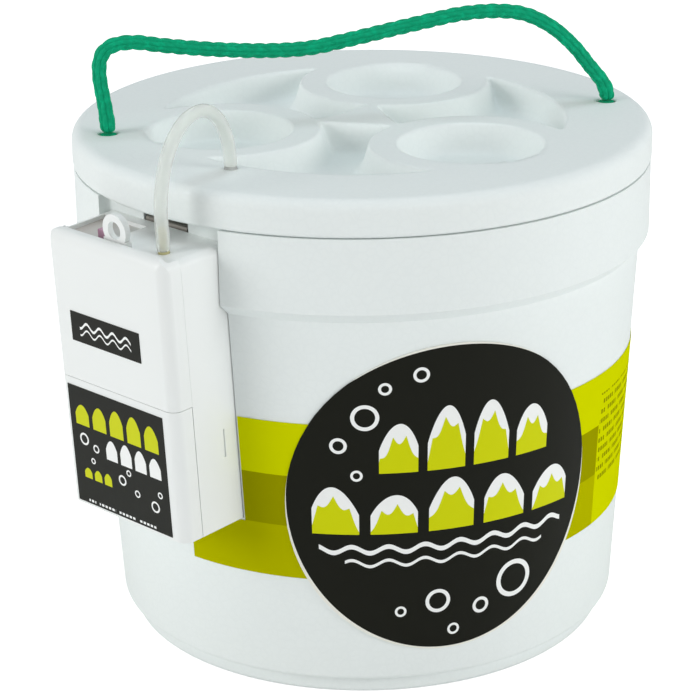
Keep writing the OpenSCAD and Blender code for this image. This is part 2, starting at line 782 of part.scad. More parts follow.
module clip_rivets() {
    color(steel) at_pump() for (x = [-10, 10]) {
        depth_bar(x, clip_top_z - 22, 3, motor_back, leg_y + clip_t);
        depth_bar(x, clip_top_z - 22, 5, leg_y + clip_t, leg_y + clip_t + 1);
        depth_bar(x, clip_top_z - 22, 5, motor_back - 0.8, motor_back);
    }
}

module case_screws() {
    color(steel) at_pump() for (x = [-screw_x, screw_x]) for (z = screw_z) {
        depth_bar(x, z, screw_d, seam_y + 2, case_d - 0.9);
        depth_bar(x, z, screw_head_d, case_d - 1, case_d - 0.1);
    }
}

// Switch

knob_x = -16.2;
knob_y = 15.7;
knob_top = case_h - 0.5;
knob_travel = 5;
knob_w = 5;
knob_deep = 4;
slot_gap = 0.3;
// Slot that the knob slides in, from height z0 to height z1
module knob_slot(z0, z1) {
    block([knob_x - knob_w / 2 - slot_gap, knob_y - knob_deep / 2 - slot_gap, z0],
        [knob_x + knob_travel + knob_w / 2 + slot_gap, knob_y + knob_deep / 2 + slot_gap, z1]);
}
module switch_bezel() {
    color(dark_grey) at_pump() difference() {
        block([well_low[0] - bezel_edge, well_low[1] - bezel_edge, bezel_z],
            [well_high[0] + bezel_edge, well_high[1] + bezel_edge, bezel_z + bezel_t]);
        knob_slot(0, case_h);
    }
}
module switch_body() {
    color(dark_grey) at_pump() difference() {
        block([knob_x - 5, knob_y - 3.6, bezel_z - 8], [knob_x + knob_travel + 5, knob_y + 5, bezel_z]);
        knob_slot(bezel_z - 4, case_h);
    }
}
module switch_knob() {
    color([0.8, 0.12, 0.15]) at_pump() block([knob_x - knob_w / 2, knob_y - knob_deep / 2, bezel_z - 3.7],
        [knob_x + knob_w / 2, knob_y + knob_deep / 2, knob_top]);
}

// Air pump

module outlet_nipple() {
    color(shell_white) at_pump() translate([nipple_x, nipple_y, head_high[2]]) difference() {
        union() {
            cylinder(h = rear_h + 1 - head_high[2], d = 5);
            cylinder(h = nipple_z - head_high[2], d = 3.4);
        }
        translate([0, 0, -1]) cylinder(h = 60, d = 1.6);
    }
}

chamber_h = 3;
chamber_d = diaphragm_d - 6;
port_z = head_low[2] + 0.65 * head_h;
port_d = 2;
// Places of the outlet port and the inlet port in the chamber's roof
outlet_port = [nipple_x - 9, nipple_y];
inlet_port = [diaphragm_x - 5, diaphragm_y + 3];
module pump_head() {
    color([0.8, 0.8, 0.78]) at_pump() difference() {
        block(head_low, head_high);
        translate([diaphragm_x, diaphragm_y, head_low[2] - 1]) cylinder(h = chamber_h + 1, d = chamber_d);
        for (p = [outlet_port, inlet_port])
            translate([p[0], p[1], head_low[2] + 1]) cylinder(h = port_z - head_low[2] - 1, d = port_d);
        // Way from the outlet port up to the nipple, and from the inlet port out of the back
        translate([outlet_port[0], nipple_y, port_z - 1]) rotate([0, 90, 0])
            cylinder(h = nipple_x - outlet_port[0], d = port_d - 0.2);
        translate([nipple_x, nipple_y, port_z - 1])
            cylinder(h = head_high[2] - port_z + 2, d = port_d - 0.2);
        depth_bar(inlet_port[0], port_z - 1, port_d - 0.2, inlet_port[1], head_high[1] + 1);
    }
}

module valve_flaps() {
    flap_t = 0.6;
    color([0.15, 0.15, 0.15]) at_pump() for (p = [outlet_port, inlet_port])
        translate([p[0], p[1], head_low[2] + chamber_h - flap_t]) cylinder(h = flap_t, d = 4.6);
}

arm_y = 5.2;
arm_window_r = eccentric_d / 2 + eccentric_throw + 1.5;
diaphragm_t = 2.4;
stud_h = 2.6;
module diaphragm() {
    color([0.12, 0.12, 0.12]) at_pump() translate([diaphragm_x, diaphragm_y, head_low[2] - diaphragm_t]) {
        cylinder(h = diaphragm_t, d = diaphragm_d);
        translate([0, 0, -stud_h]) cylinder(h = stud_h, d = 8);
    }
}

// Lever that the eccentric swings and that works the diaphragm
module swing_arm() {
    ring_r = arm_window_r + 2.2;
    nose_top = head_low[2] - diaphragm_t - stud_h - 0.3;
    color([0.85, 0.85, 0.8]) at_pump() difference() {
        union() {
            depth_bar(motor_x, motor_z, 2 * ring_r, arm_y, arm_y + arm_t);
            depth_bar(pivot_x, motor_z, 6, arm_y, arm_y + arm_t);
            block([pivot_x, arm_y, motor_z - 2.4], [diaphragm_x + 4, arm_y + arm_t, motor_z + 2.4]);
            block([diaphragm_x - 4, arm_y, motor_z - 2.4], [diaphragm_x + 4, diaphragm_y + 4, motor_z + 2.4]);
            block([diaphragm_x - 4, diaphragm_y - 4, motor_z], [diaphragm_x + 4, diaphragm_y + 4, nose_top]);
        }
        depth_bar(motor_x, motor_z, 2 * arm_window_r, arm_y - 1, arm_y + arm_t + 1);
        depth_bar(pivot_x, motor_z, pivot_d + 2 * run_gap, arm_y - 1, arm_y + arm_t + 1);
    }
}

// The pin has a thicker foot that stands on the rear wall, and a head in front of the arm
module pivot_pin() {
    color(steel) at_pump() {
        depth_bar(pivot_x, motor_z, pivot_d, arm_y - 0.6, motor_back);
        depth_bar(pivot_x, motor_z, 4, arm_y + arm_t + 0.4, motor_back);
        depth_bar(pivot_x, motor_z, 4.4, arm_y - 1.2, arm_y - 0.5);
    }
}

// Motor

bush_d = 6;
can_t = 0.8;
module motor_can() {
    color(steel) at_pump() difference() {
        union() {
            depth_bar(motor_x, motor_z, motor_d, motor_y, motor_y + motor_len);
            depth_bar(motor_x, motor_z, bush_d, motor_y - 1.2, motor_y + 1);
        }
        depth_bar(motor_x, motor_z, motor_d - 2 * can_t, motor_y + can_t, motor_y + motor_len + 1);
        depth_bar(motor_x, motor_z, shaft_d + 2 * run_gap, motor_y - 2, motor_y + 2);
    }
}

module motor_end_cap() {
    color([0.9, 0.9, 0.88]) at_pump() difference() {
        depth_bar(motor_x, motor_z, motor_d, motor_y + motor_len, motor_back);
        depth_bar(motor_x, motor_z, shaft_d + 2 * run_gap, motor_y + motor_len - 1, motor_back - 0.6);
    }
}

module motor_shaft() {
    color(steel) at_pump() depth_bar(motor_x, motor_z, shaft_d, arm_y - 1, motor_back - 0.9);
}

module armature() {
    color([0.7, 0.4, 0.2]) at_pump() difference() {
        union() {
            depth_bar(motor_x, motor_z, 15.5, motor_y + 3, motor_y + motor_len - 5);
            depth_bar(motor_x, motor_z, 6, motor_y + motor_len - 5, motor_y + motor_len - 1);
        }
        depth_bar(motor_x, motor_z, shaft_d, motor_y, motor_y + motor_len);
    }
}

module magnet_ring() {
    color([0.2, 0.2, 0.22]) at_pump() difference() {
        depth_bar(motor_x, motor_z, motor_d - 2 * can_t, motor_y + 2, motor_y + motor_len - 3);
        depth_bar(motor_x, motor_z, 17, motor_y + 1, motor_y + motor_len);
    }
}

module eccentric() {
    color([0.9, 0.9, 0.85]) at_pump() difference() {
        depth_bar(motor_x, motor_z + eccentric_throw, eccentric_d, arm_y - 0.3, arm_y + arm_t + 0.5);
        depth_bar(motor_x, motor_z, shaft_d, arm_y - 2, arm_y + arm_t + 2);
    }
}

// Cells and contacts

module cell(x, up) {
    body_z = cell_low + (up ? 0 : nub_h);
    nub_z = up ? cell_low + cell_h - nub_h : cell_low;
    color([0.75, 0.6, 0.3]) at_pump() {
        translate([x, cell_y, body_z]) cylinder(h = cell_h - nub_h, d = cell_d);
        translate([x, cell_y, nub_z]) cylinder(h = nub_h, d = nub_d);
    }
}
module battery_left() cell(-cell_x, true);
module battery_right() cell(cell_x, false);

plate_w = 14;
module contact_bridge() {
    color(steel) at_pump() {
        block([-cell_x - 7, cell_y - plate_w / 2, case_wall],
            [cell_x + 7, cell_y + plate_w / 2, case_wall + contact_t]);
        translate([-cell_x, cell_y, case_wall + contact_t]) difference() {
            cylinder(h = cell_low - case_wall - contact_t, r = 6);
            translate([0, 0, -1]) cylinder(h = cell_low, r = 4.8);
        }
        translate([cell_x, cell_y, case_wall + contact_t]) cylinder(h = cell_low - case_wall - contact_t, r = 3);
    }
}

module top_plate(x) {
    block([x - 8, cell_y - plate_w / 2, shelf_z - contact_t], [x + 8, cell_y + plate_w / 2, shelf_z]);
}
module contact_plus() {
    top = cell_low + cell_h;
    color(steel) at_pump() {
        top_plate(-cell_x);
        translate([-cell_x, cell_y, top]) cylinder(h = shelf_z - contact_t - top, r = 3);
    }
}
module contact_minus() {
    top = cell_low + cell_h;
    color(steel) at_pump() {
        top_plate(cell_x);
        translate([cell_x, cell_y, top]) difference() {
            cylinder(h = shelf_z - contact_t - top, r = 6);
            translate([0, 0, -1]) cylinder(h = shelf_z - contact_t - top + 1, r = 4.8);
        }
    }
}

bucket();
lid();
wrap_band();
disc_label();
rope_handle();
rope_leg_left();
rope_leg_right();
rope_knot_left();
rope_knot_right();
air_hose();
drop_hose();
air_stone();
stone_stem();
rear_case();
front_cover();
battery_door();
upper_label();
lower_label();
belt_clip();
clip_rivets();
case_screws();
switch_bezel();
switch_body();
switch_knob();
outlet_nipple();
pump_head();
valve_flaps();
diaphragm();
swing_arm();
pivot_pin();
eccentric();
motor_shaft();
armature();
magnet_ring();
motor_can();
motor_end_cap();
battery_left();
battery_right();
contact_bridge();
contact_plus();
contact_minus();
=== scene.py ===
# %% [markdown]
# # An aerated bait bucket, from its CAD frame to a finished model
# A moulded foam pail has a lid with six trays, a braided rope that runs through lid and rim, and a battery
# air pump that sits in a seat in the wall. A clear hose leads from the pump over the rim and down to an air
# stone. The CAD frame gives every place and size; the cells below give each piece its real surface.
# Lengths are metres, +Z is up and the printed front of the pail faces -Y.

# %% Load the frame
import json
import bmesh
import bpy
import numpy as np
from mathutils import Matrix, Vector

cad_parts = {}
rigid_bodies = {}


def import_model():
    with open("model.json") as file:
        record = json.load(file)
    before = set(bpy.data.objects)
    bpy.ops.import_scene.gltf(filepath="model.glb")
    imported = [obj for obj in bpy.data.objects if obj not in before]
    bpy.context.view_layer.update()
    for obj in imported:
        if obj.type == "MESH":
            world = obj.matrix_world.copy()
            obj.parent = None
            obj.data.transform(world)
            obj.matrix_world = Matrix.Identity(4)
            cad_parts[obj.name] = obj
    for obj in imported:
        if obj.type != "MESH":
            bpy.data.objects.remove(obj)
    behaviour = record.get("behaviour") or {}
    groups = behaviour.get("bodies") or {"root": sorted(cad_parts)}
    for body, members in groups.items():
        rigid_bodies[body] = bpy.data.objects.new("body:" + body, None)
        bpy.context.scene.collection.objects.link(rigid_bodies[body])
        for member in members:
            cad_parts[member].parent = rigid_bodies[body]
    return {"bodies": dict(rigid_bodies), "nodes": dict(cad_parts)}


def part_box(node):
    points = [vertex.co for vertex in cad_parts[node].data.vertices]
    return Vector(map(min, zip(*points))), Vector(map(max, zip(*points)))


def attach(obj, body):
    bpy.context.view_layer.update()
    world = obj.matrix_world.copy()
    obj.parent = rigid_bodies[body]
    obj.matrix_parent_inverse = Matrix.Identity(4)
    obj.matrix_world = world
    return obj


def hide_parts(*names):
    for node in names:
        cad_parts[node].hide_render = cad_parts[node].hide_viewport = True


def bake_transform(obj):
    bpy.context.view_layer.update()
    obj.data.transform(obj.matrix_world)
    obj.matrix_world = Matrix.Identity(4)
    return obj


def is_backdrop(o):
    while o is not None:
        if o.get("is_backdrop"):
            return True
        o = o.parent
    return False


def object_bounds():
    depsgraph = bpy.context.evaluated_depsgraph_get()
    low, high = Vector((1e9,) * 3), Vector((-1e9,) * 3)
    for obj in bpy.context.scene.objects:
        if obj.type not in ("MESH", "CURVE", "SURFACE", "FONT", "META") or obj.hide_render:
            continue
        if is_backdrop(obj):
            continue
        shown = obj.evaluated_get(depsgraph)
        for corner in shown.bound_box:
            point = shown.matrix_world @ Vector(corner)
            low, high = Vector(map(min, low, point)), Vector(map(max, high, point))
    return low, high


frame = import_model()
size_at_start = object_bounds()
MM = 0.001

# %% [markdown]
# ## Camera
# The place, the tilt and the lens were worked out from ellipses of lid, rim and foot and from the pump's
# corners, so that the model falls on the photograph. A long lens far away gives its calm perspective.

# %% Camera
CAMERA_PLACE = Vector((0.042485, -1.178860, 0.570702))
LOOK = Vector((-0.039456, 0.935619, -0.350800))
RIGHT = Vector((0.999221, 0.037180, -0.013226))
UP = Vector((-0.000669, 0.351049, 0.936357))
LENS = 129.42
camera_data = bpy.data.cameras.new("camera")
camera_data.sensor_width = 36
camera_data.lens = LENS
camera_data.clip_start = 0.05
camera_data.clip_end = 50
camera = bpy.data.objects.new("camera", camera_data)
bpy.context.collection.objects.link(camera)
camera.matrix_world = Matrix((
    (RIGHT.x, UP.x, -LOOK.x, CAMERA_PLACE.x),
    (RIGHT.y, UP.y, -LOOK.y, CAMERA_PLACE.y),
    (RIGHT.z, UP.z, -LOOK.z, CAMERA_PLACE.z),
    (0, 0, 0, 1)))
bpy.context.scene.camera = camera
bpy.context.scene.view_settings.view_transform = "Standard"
print("camera", round(CAMERA_PLACE.length, 3), "m away, lens", LENS, "mm")

# %% [markdown]
# ## Colours and lines
# Colours are noted as a screen shows them and turned into linear light. A hose or a rope is laid
# through a few given points, and cubics between them give one easy curve that passes every point.

# %% Colours and lines
def rgb(r, g, b):
    """A colour as a screen shows it, 0 to 255, turned into the linear values that a shader takes."""
    c = np.array([r, g, b]) / 255
    linear = np.where(c <= 0.04045, c / 12.92, ((c + 0.055) / 1.055) ** 2.4)
    return (*[float(v) for v in linear], 1.0)


def route(points, step):
    """A smooth line through given points, as points one step apart, with its length up to each.
    Between two points the line is the cubic whose slope at each end follows the two neighbours."""
    points = np.asarray(points, float)
    longer = np.vstack([2 * points[0] - points[1], points, 2 * points[-1] - points[-2]])
    before, start, end, after = (longer[k:len(longer) - 3 + k, None, :] for k in range(4))
    t = np.linspace(0, 1, 32, endpoint=False)[None, :, None]
    curve = 0.5 * (2 * start + (end - before) * t + (2 * before - 5 * start + 4 * end - after) * t ** 2
                   + (3 * start - before - 3 * end + after) * t ** 3)
    curve = np.vstack([curve.reshape(-1, 3), points[-1:]])
    way = np.r_[0, np.cumsum(np.linalg.norm(np.diff(curve, axis=0), axis=1))]
    at = np.linspace(0, way[-1], max(3, int(round(way[-1] / step))) + 1)
    return np.stack([np.interp(at, way, curve[:, k]) for k in range(3)], 1), at


# %% [markdown]
# ## Closed surfaces
# Every new surface is a grid of points, computed for all points at once: rings along a path or a profile
# turned round an axis. The grid's rows are joined to faces, and a closed surface whose signed volume comes
# out negative is turned inside out, so that faces always look outwards. A curve with a bevel would have one
# section all along, while a grid may change its radius at every point.

# %% Closed surfaces
def ring_quads(rows, columns):
    """Index quads of a grid of points whose last column joins the first."""
    i, j = np.meshgrid(np.arange(rows - 1), np.arange(columns), indexing="ij")
    k = (j + 1) % columns
    quads = [i * columns + j, i * columns + k, (i + 1) * columns + k, (i + 1) * columns + j]
    return np.stack(quads, -1).reshape(-1, 4)


def surface(name, grid, closed="ends"):
    """A mesh object from a grid of points (rows, columns, 3) whose rows are closed rings. With closed="ends"
    a point at the middle of the first and the last ring closes them; with "loop" the last ring joins the
    first. The UV map holds the share of the way round and along."""
    rows, columns = grid.shape[:2]
    points = grid.reshape(-1, 3)
    here = np.arange(columns)
    after = (here + 1) % columns
    end = (rows - 1) * columns
    quads = ring_quads(rows, columns)
    if closed == "loop":
        quads = np.vstack([quads, np.stack([end + here, end + after, after, here], -1)])
    i, j = np.divmod(np.arange(len(quads)), columns)
    steps = len(quads) // columns
    u0, u1, v0, v1 = j / columns, (j + 1) / columns, i / steps, (i + 1) / steps
    faces = [quads]
    corner_uv = [np.stack([u0, v0, u1, v0, u1, v1, u0, v1], 1).reshape(-1, 2)]
    if closed == "ends":
        first, last = np.full(columns, rows * columns), np.full(columns, rows * columns + 1)
        points = np.vstack([points, grid[0].mean(0), grid[-1].mean(0)])
        faces.append(np.vstack([np.stack([after, here, first], -1),
                                np.stack([end + here, end + after, last], -1)]))
        cap_uv = np.zeros((2 * columns, 3, 2))
        cap_uv[columns:, :, 1] = 1
        cap_uv[:, :, 0] = (np.r_[here, here][:, None] + 0.5) / columns
        corner_uv.append(cap_uv.reshape(-1, 2))
    tris = np.vstack([quads[:, [0, 1, 2]], quads[:, [0, 2, 3]], *faces[1:]])
    a, b, c = points[tris[:, 0]], points[tris[:, 1]], points[tris[:, 2]]
    if np.einsum("ij,ij->i", a, np.cross(b, c)).sum() < 0:
        faces = [f[:, ::-1] for f in faces]
        corner_uv = [uv.reshape(len(f), -1, 2)[:, ::-1].reshape(-1, 2) for uv, f in zip(corner_uv, faces)]
    mesh = bpy.data.meshes.new(name)
    mesh.from_pydata(points.tolist(), [], [row for f in faces for row in f.tolist()])
    layer = mesh.uv_layers.new(name="UVMap")
    layer.data.foreach_set("uv", np.vstack(corner_uv).astype(np.float32).ravel())
    mesh.polygons.foreach_set("use_smooth", np.full(len(mesh.polygons), True))
    piece = bpy.data.objects.new(name, mesh)
    bpy.context.collection.objects.link(piece)
    return piece


# %% Rings and turned profiles
def unit(vectors):
    """Vectors brought to length one."""
    return vectors / np.linalg.norm(vectors, axis=1)[:, None]


def rings_between(line, out, side, radius):
    """Rings round a line of points, each in the plane of its two unit vectors out and side."""
    a = np.linspace(0, 2 * np.pi, radius.shape[1], endpoint=False)
    ring = np.cos(a)[None, :, None] * out[:, None] + np.sin(a)[None, :, None] * side[:, None]
    return line[:, None] + radius[..., None] * ring


def rings(path, side, radius):
    """Rings round a path that lies in one plane: side is the plane's normal, radius an array (points,
    columns). Each ring stands square to the path."""
    side = np.broadcast_to(side, path.shape)
    out = unit(np.cross(unit(np.gradient(path, axis=0)), side))
    return rings_between(path, out, side, radius)


def spun(name, profile, columns, place):
    """A profile of (radius, height) pairs turned round the upright line through place."""
    profile = np.asarray(profile, float)
    a = np.linspace(0, 2 * np.pi, columns, endpoint=False)
    grid = np.stack([profile[:, :1] * np.cos(a), profile[:, :1] * np.sin(a),
                     np.repeat(profile[:, 1:], columns, 1)], -1)
    return surface(name, grid + np.asarray(place))


def polar(direction, radius, z):
    """A point at a direction in degrees (0 is the front, positive to the right), a radius and a height."""
    a = np.radians(direction)
    return np.array([radius * np.sin(a), -radius * np.cos(a), z])


# %% [markdown]
# ## Fields and finishes
# A pattern is written as a formula over the surface. Field stands for a number that the shader works out
# at each point, and its operators build the Math nodes, so that a formula reads as it is said in words.

# %% Fields
def joined(operation):
    """A method that joins a field and its operands by one Math node."""
    def method(self, *others):
        return self.math(operation, *others)
    return method


class Field:
    """A number at each point of a surface, built from Math nodes. Of two shares, & keeps what both hold
    and | what at least one holds."""

    def __init__(self, tree, socket):
        self.tree = tree
        self.socket = socket

    def math(self, operation, *others):
        """One Math node on this field and the other operands, which are fields or numbers."""
        node = self.tree.nodes.new("ShaderNodeMath")
        node.operation = operation
        for entry, value in zip(node.inputs, (self, *others)):
            if isinstance(value, Field):
                self.tree.links.new(value.socket, entry)
            else:
                entry.default_value = float(value)
        return Field(self.tree, node.outputs[0])

    __add__ = __radd__ = joined("ADD")
    __sub__ = joined("SUBTRACT")
    __mul__ = __rmul__ = __and__ = joined("MULTIPLY")
    __truediv__ = joined("DIVIDE")
    __lt__ = joined("LESS_THAN")
    __gt__ = joined("GREATER_THAN")
    __or__ = joined("MAXIMUM")
    abs = joined("ABSOLUTE")
    sin = joined("SINE")
    frac = joined("FRACT")
    floor = joined("FLOOR")
    power = joined("POWER")
    at_least = joined("MAXIMUM")
    at_most = joined("MINIMUM")

    def __rsub__(self, other):
        return self * -1 + other

    def hypot(self, other):
        """The distance from (0, 0) of the point whose two coordinates are the fields."""
        return (self * self + other * other).math("SQRT")


# %% Finishes
class Finish:
    """A material with one Principled shader and the means to give it patterns, colours and relief."""

    def __init__(self, name, colour, roughness=0.5, **sockets):
        self.material = bpy.data.materials.new(name)
        self.material.use_nodes = True
        self.tree = self.material.node_tree
        self.shader = self.tree.nodes["Principled BSDF"]
        self.shader.inputs["Base Color"].default_value = colour
        self.shader.inputs["Roughness"].default_value = roughness
        self.colour = colour
        for key, value in sockets.items():
            self.shader.inputs[key.replace("_", " ")].default_value = value

    def coordinates(self):
        """x, y and z of the point in millimetres."""
        node = self.tree.nodes.new("ShaderNodeTexCoord")
        split = self.tree.nodes.new("ShaderNodeSeparateXYZ")
        self.tree.links.new(node.outputs["Object"], split.inputs[0])
        return [Field(self.tree, s) * (1 / MM) for s in split.outputs]

    def noise(self, size, detail=2.0, stretch=(1, 1, 1)):
        """Cloudy noise whose blobs are about size across, from 0 to 1."""
        node = self.tree.nodes.new("ShaderNodeTexNoise")
        node.inputs["Scale"].default_value = 1 / size
        node.inputs["Detail"].default_value = detail
        self._place(node, stretch)
        return Field(self.tree, node.outputs["Fac"])

    def cells(self, size, feature="DISTANCE_TO_EDGE"):
        """Cells about size across: the distance to the cell's edge or, with F1, to the nearest centre, as a
        share of the size."""
        node = self.tree.nodes.new("ShaderNodeTexVoronoi")
        node.feature = feature
        node.inputs["Scale"].default_value = 1 / size
        self._place(node, (1, 1, 1))
        return Field(self.tree, node.outputs["Distance"])

    def _place(self, node, stretch):
        """Ties a texture to the piece's own coordinates, stretched along x, y and z."""
        place = self.tree.nodes.new("ShaderNodeTexCoord")
        mapping = self.tree.nodes.new("ShaderNodeMapping")
        mapping.inputs["Scale"].default_value = stretch
        self.tree.links.new(place.outputs["Object"], mapping.inputs[0])
        self.tree.links.new(mapping.outputs[0], node.inputs["Vector"])

    def paint(self, *layers):
        """Layers of (share, colour) over the base colour, the last on top."""
        under = None
        for share, colour in layers:
            mix = self.tree.nodes.new("ShaderNodeMix")
            mix.data_type = "RGBA"
            self.tree.links.new(share.socket, mix.inputs[0])
            if under is None:
                mix.inputs[6].default_value = self.colour
            else:
                self.tree.links.new(under, mix.inputs[6])
            mix.inputs[7].default_value = colour
            under = mix.outputs[2]
        self.tree.links.new(under, self.shader.inputs["Base Color"])
        return self

    def set(self, socket, field):
        """Lets a field drive one of the shader's sockets."""
        self.tree.links.new(field.socket, self.shader.inputs[socket])
        return self

    def relief(self, height, depth, strength=1.0):
        """Small relief: height is a field from 0 to 1 and depth its size in metres."""
        bump = self.tree.nodes.new("ShaderNodeBump")
        bump.inputs["Distance"].default_value = depth
        bump.inputs["Strength"].default_value = strength
        self.tree.links.new(height.socket, bump.inputs["Height"])
        self.tree.links.new(bump.outputs[0], self.shader.inputs["Normal"])
        return self


def coat(piece, material):
    """Gives a piece its material."""
    piece.data.materials.clear()
    piece.data.materials.append(material.material)


def finish(piece, material):
    """Gives a piece its material."""
    coat(piece, material)


# %% [markdown]
# ## Cords first: the hose outside
# The clear vinyl hose is pushed over the pump's nipple, rises, bends over in one easy arch and goes
# straight down through the lid. It is a tube with a wall of 1.1 mm, so it is made as one closed surface
# that runs up the outside and back down the bore: clear vinyl looks solid without its bore.

# %% Hose outside
HOSE_DIRECTION = -32.6
HOSE_R, HOSE_BORE_R, HOSE_LIP = 3.1 * MM, 2.0 * MM, 0.25 * MM
HOSE_COLUMNS = 32
HOSE_OUTSIDE = [(154.5, 224.4), (154.8, 230), (155.2, 237), (155, 246), (153.4, 255.5), (150.2, 264.5),
                (145.3, 271.8), (138.8, 277.4), (131, 280.4), (122.8, 280.4), (115.6, 277), (109.8, 270.6),
                (106.2, 262.4), (104.7, 255), (104.5, 250.6)]
HOSE_INSIDE = [(104.5, 250.6), (104.5, 238), (104.5, 224), (104.5, 210), (104.5, 196), (104.5, 182),
               (104.4, 168), (104, 152), (103.2, 136), (102, 120), (100.6, 106), (98.8, 92), (96.8, 80),
               (95.3, 70), (94.7, 64), (94.5, 60)]
hose_side = np.array([np.cos(np.radians(HOSE_DIRECTION)), np.sin(np.radians(HOSE_DIRECTION)), 0])


def hose_points(pairs):
    """Points of (distance from the axis, height) pairs in the hose's upright plane."""
    return [polar(HOSE_DIRECTION, r * MM, z * MM) for r, z in pairs]


def hose(name, path):
    """Outside and bore of a hose as one closed grid: rings up the outside, then back down the bore."""
    ones = np.ones((len(path), HOSE_COLUMNS))
    outer = rings(path, hose_side, HOSE_R * ones)
    bore = rings(path, hose_side, HOSE_BORE_R * ones)[::-1]
    rim = rings(path, hose_side, (HOSE_R - HOSE_LIP) * ones)
    return surface(name, np.concatenate([rim[:1], outer[1:-1], rim[-1:], bore]), "loop")


outside_path, outside_at = route(hose_points(HOSE_OUTSIDE), 1.2 * MM)
air_hose = hose("clear_hose_outside", outside_path)
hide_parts("air_hose")
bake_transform(air_hose)
print("hose outside", round(outside_at[-1] / MM, 1), "mm long,", len(air_hose.data.polygons), "faces")

# %% [markdown]
# ## The hose inside and the air stone
# Below the lid the same hose hangs down along the wall to a stone near the floor. The stone is a barrel of
# sintered grit, glued round the foot of a barbed stem. Its grain is real relief: the radius of each point of
# the turned profile gets a little noise from a sum of waves that don't repeat.

# %% Hose inside, stem and stone
inside_path, inside_at = route(hose_points(HOSE_INSIDE), 2.0 * MM)
drop_hose = hose("clear_hose_inside", inside_path)
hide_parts("drop_hose")
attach(drop_hose, "lid")

STONE_R, STONE_H, STONE_TOP = 7 * MM, 26 * MM, 58 * MM
STONE_CORNER, STONE_GRAIN = 1.2 * MM, 0.16 * MM
STONE_PLACE = polar(HOSE_DIRECTION, HOSE_INSIDE[-1][0] * MM, 0)
height = np.linspace(0, 1, 60)[:, None]
turn = np.linspace(0, 2 * np.pi, 96, endpoint=False)[None]
edge = np.clip(np.minimum(height, 1 - height) * STONE_H / STONE_CORNER, 0, 1)
grain = (np.sin(17 * turn + 60 * height) * np.sin(9 * turn - 97 * height)
         + 0.6 * np.sin(31 * turn + 40 * height) * np.sin(140 * height + 3 * turn))
stone_radius = STONE_R - STONE_CORNER * (1 - np.sqrt(1 - (1 - edge) ** 2))
stone_radius = stone_radius - STONE_GRAIN * (1 + 0.5 * grain) * edge
stone_grid = np.stack([STONE_PLACE[0] + stone_radius * np.cos(turn),
                       STONE_PLACE[1] + stone_radius * np.sin(turn),
                       np.broadcast_to(STONE_TOP - STONE_H + height * STONE_H, stone_radius.shape)], -1)
air_stone = surface("air_stone_grit", stone_grid)
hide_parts("air_stone")
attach(air_stone, "lid")

STEM_SUNK = 10 * MM
STEM_PROFILE = [(1.65, 0), (1.65, 10), (4.2, 10.05), (4.5, 10.4), (4.5, 11.2), (4.2, 11.6), (1.7, 11.65),
                (1.6, 12.6), (2.0, 13), (1.6, 14.4), (1.6, 14.5), (2.0, 14.9), (1.6, 16.3), (1.6, 16.4),
                (2.0, 16.8), (1.3, 18)]
stem_foot = STONE_PLACE + [0, 0, STONE_TOP - STEM_SUNK]
stone_stem = spun("stone_stem_barbed", np.array(STEM_PROFILE) * MM, 48, stem_foot)
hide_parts("stone_stem")
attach(stone_stem, "lid")
print("hose inside", round(inside_at[-1] / MM, 1), "mm long")

# %% [markdown]
# ## The rope
# The handle is a solid-braid rope: strands lie in columns along it, each column a chain of slanted
# stitches, and neighbouring columns slant the other way. The relief is a formula over the way round and the
# way along: a stitch is high where both the cosine across its column and the cosine along its slant are
# high, and the grooves between stitches are as low as the product of the two falls. Separate strands
# would take many times the faces.

# %% Rope
ROPE_DIRECTION = -76.5
ROPE_R = 3.7 * MM
ROPE_HOLE_R = 123 * MM
LID_TOP = 249.4 * MM
STITCH = 6.4 * MM
ROPE_COLUMNS, ROPE_STEP = 64, 0.42 * MM
SEAT_DEPTH, SQUARED_LENGTH = 3.95 * MM, 0.8 * MM
ARCH_FLARE, ARCH_FLARE_LENGTH = 0.11, 9 * MM
ROPE_ARCH = [(-1, 0.25), (-1, 4.2), (-1.006, 12), (-1.015, 20), (-1.022, 28), (-1.018, 35), (-0.995, 40.2),
             (-0.945, 42.9), (-0.87, 43), (-0.79, 41.2), (-0.65, 38.6), (-0.5, 36.5), (-0.34, 35.2),
             (-0.2, 35.4), (-0.06, 38), (0.1, 41.5), (0.25, 44.7), (0.4, 47.6), (0.54, 48), (0.66, 45.6),
             (0.77, 38.5), (0.86, 28.5), (0.925, 18.5), (0.98, 10), (1, 4.2), (1, 0.25)]
rope_out = polar(ROPE_DIRECTION, 1, 0)
rope_side = np.array([np.cos(np.radians(ROPE_DIRECTION)), np.sin(np.radians(ROPE_DIRECTION)), 0])


def braid(along, columns, radius=ROPE_R, strands=8, depth=0.26):
    """Radius of a solid braid at every point: along is the way along the rope, columns points go round."""
    way = np.linspace(0, strands, columns, endpoint=False)[None]
    across = way % 1 - 0.5
    slant = np.where(np.floor(way) % 2 == 0, 1, -1)
    phase = along[:, None] / STITCH + 0.5 * (np.floor(way) % 2) + 0.55 * slant * across
    stitch = np.abs(np.cos(np.pi * phase)) ** 0.7
    column = np.cos(np.pi * across) ** 0.6
    return radius * (1 - depth + depth * (0.25 * column + 0.75 * column * stitch))


def seated_ends(along, radius):
    """The radius at both ends of the arch: below the hinge it closes as a flattened ball, whose section is
    |r/R|^2.5 + |d/D|^2.5 = 1 with d the depth under the hinge and D the seat's depth, and so it turns
    freely over the hole."""
    depth = 1 - np.clip(np.minimum(along - along[0], along[-1] - along) / SEAT_DEPTH, 0, 1)
    cap = np.clip(1 - depth ** 2.5, 0, 1) ** 0.4
    return radius * np.maximum(cap, 0.02)[:, None]


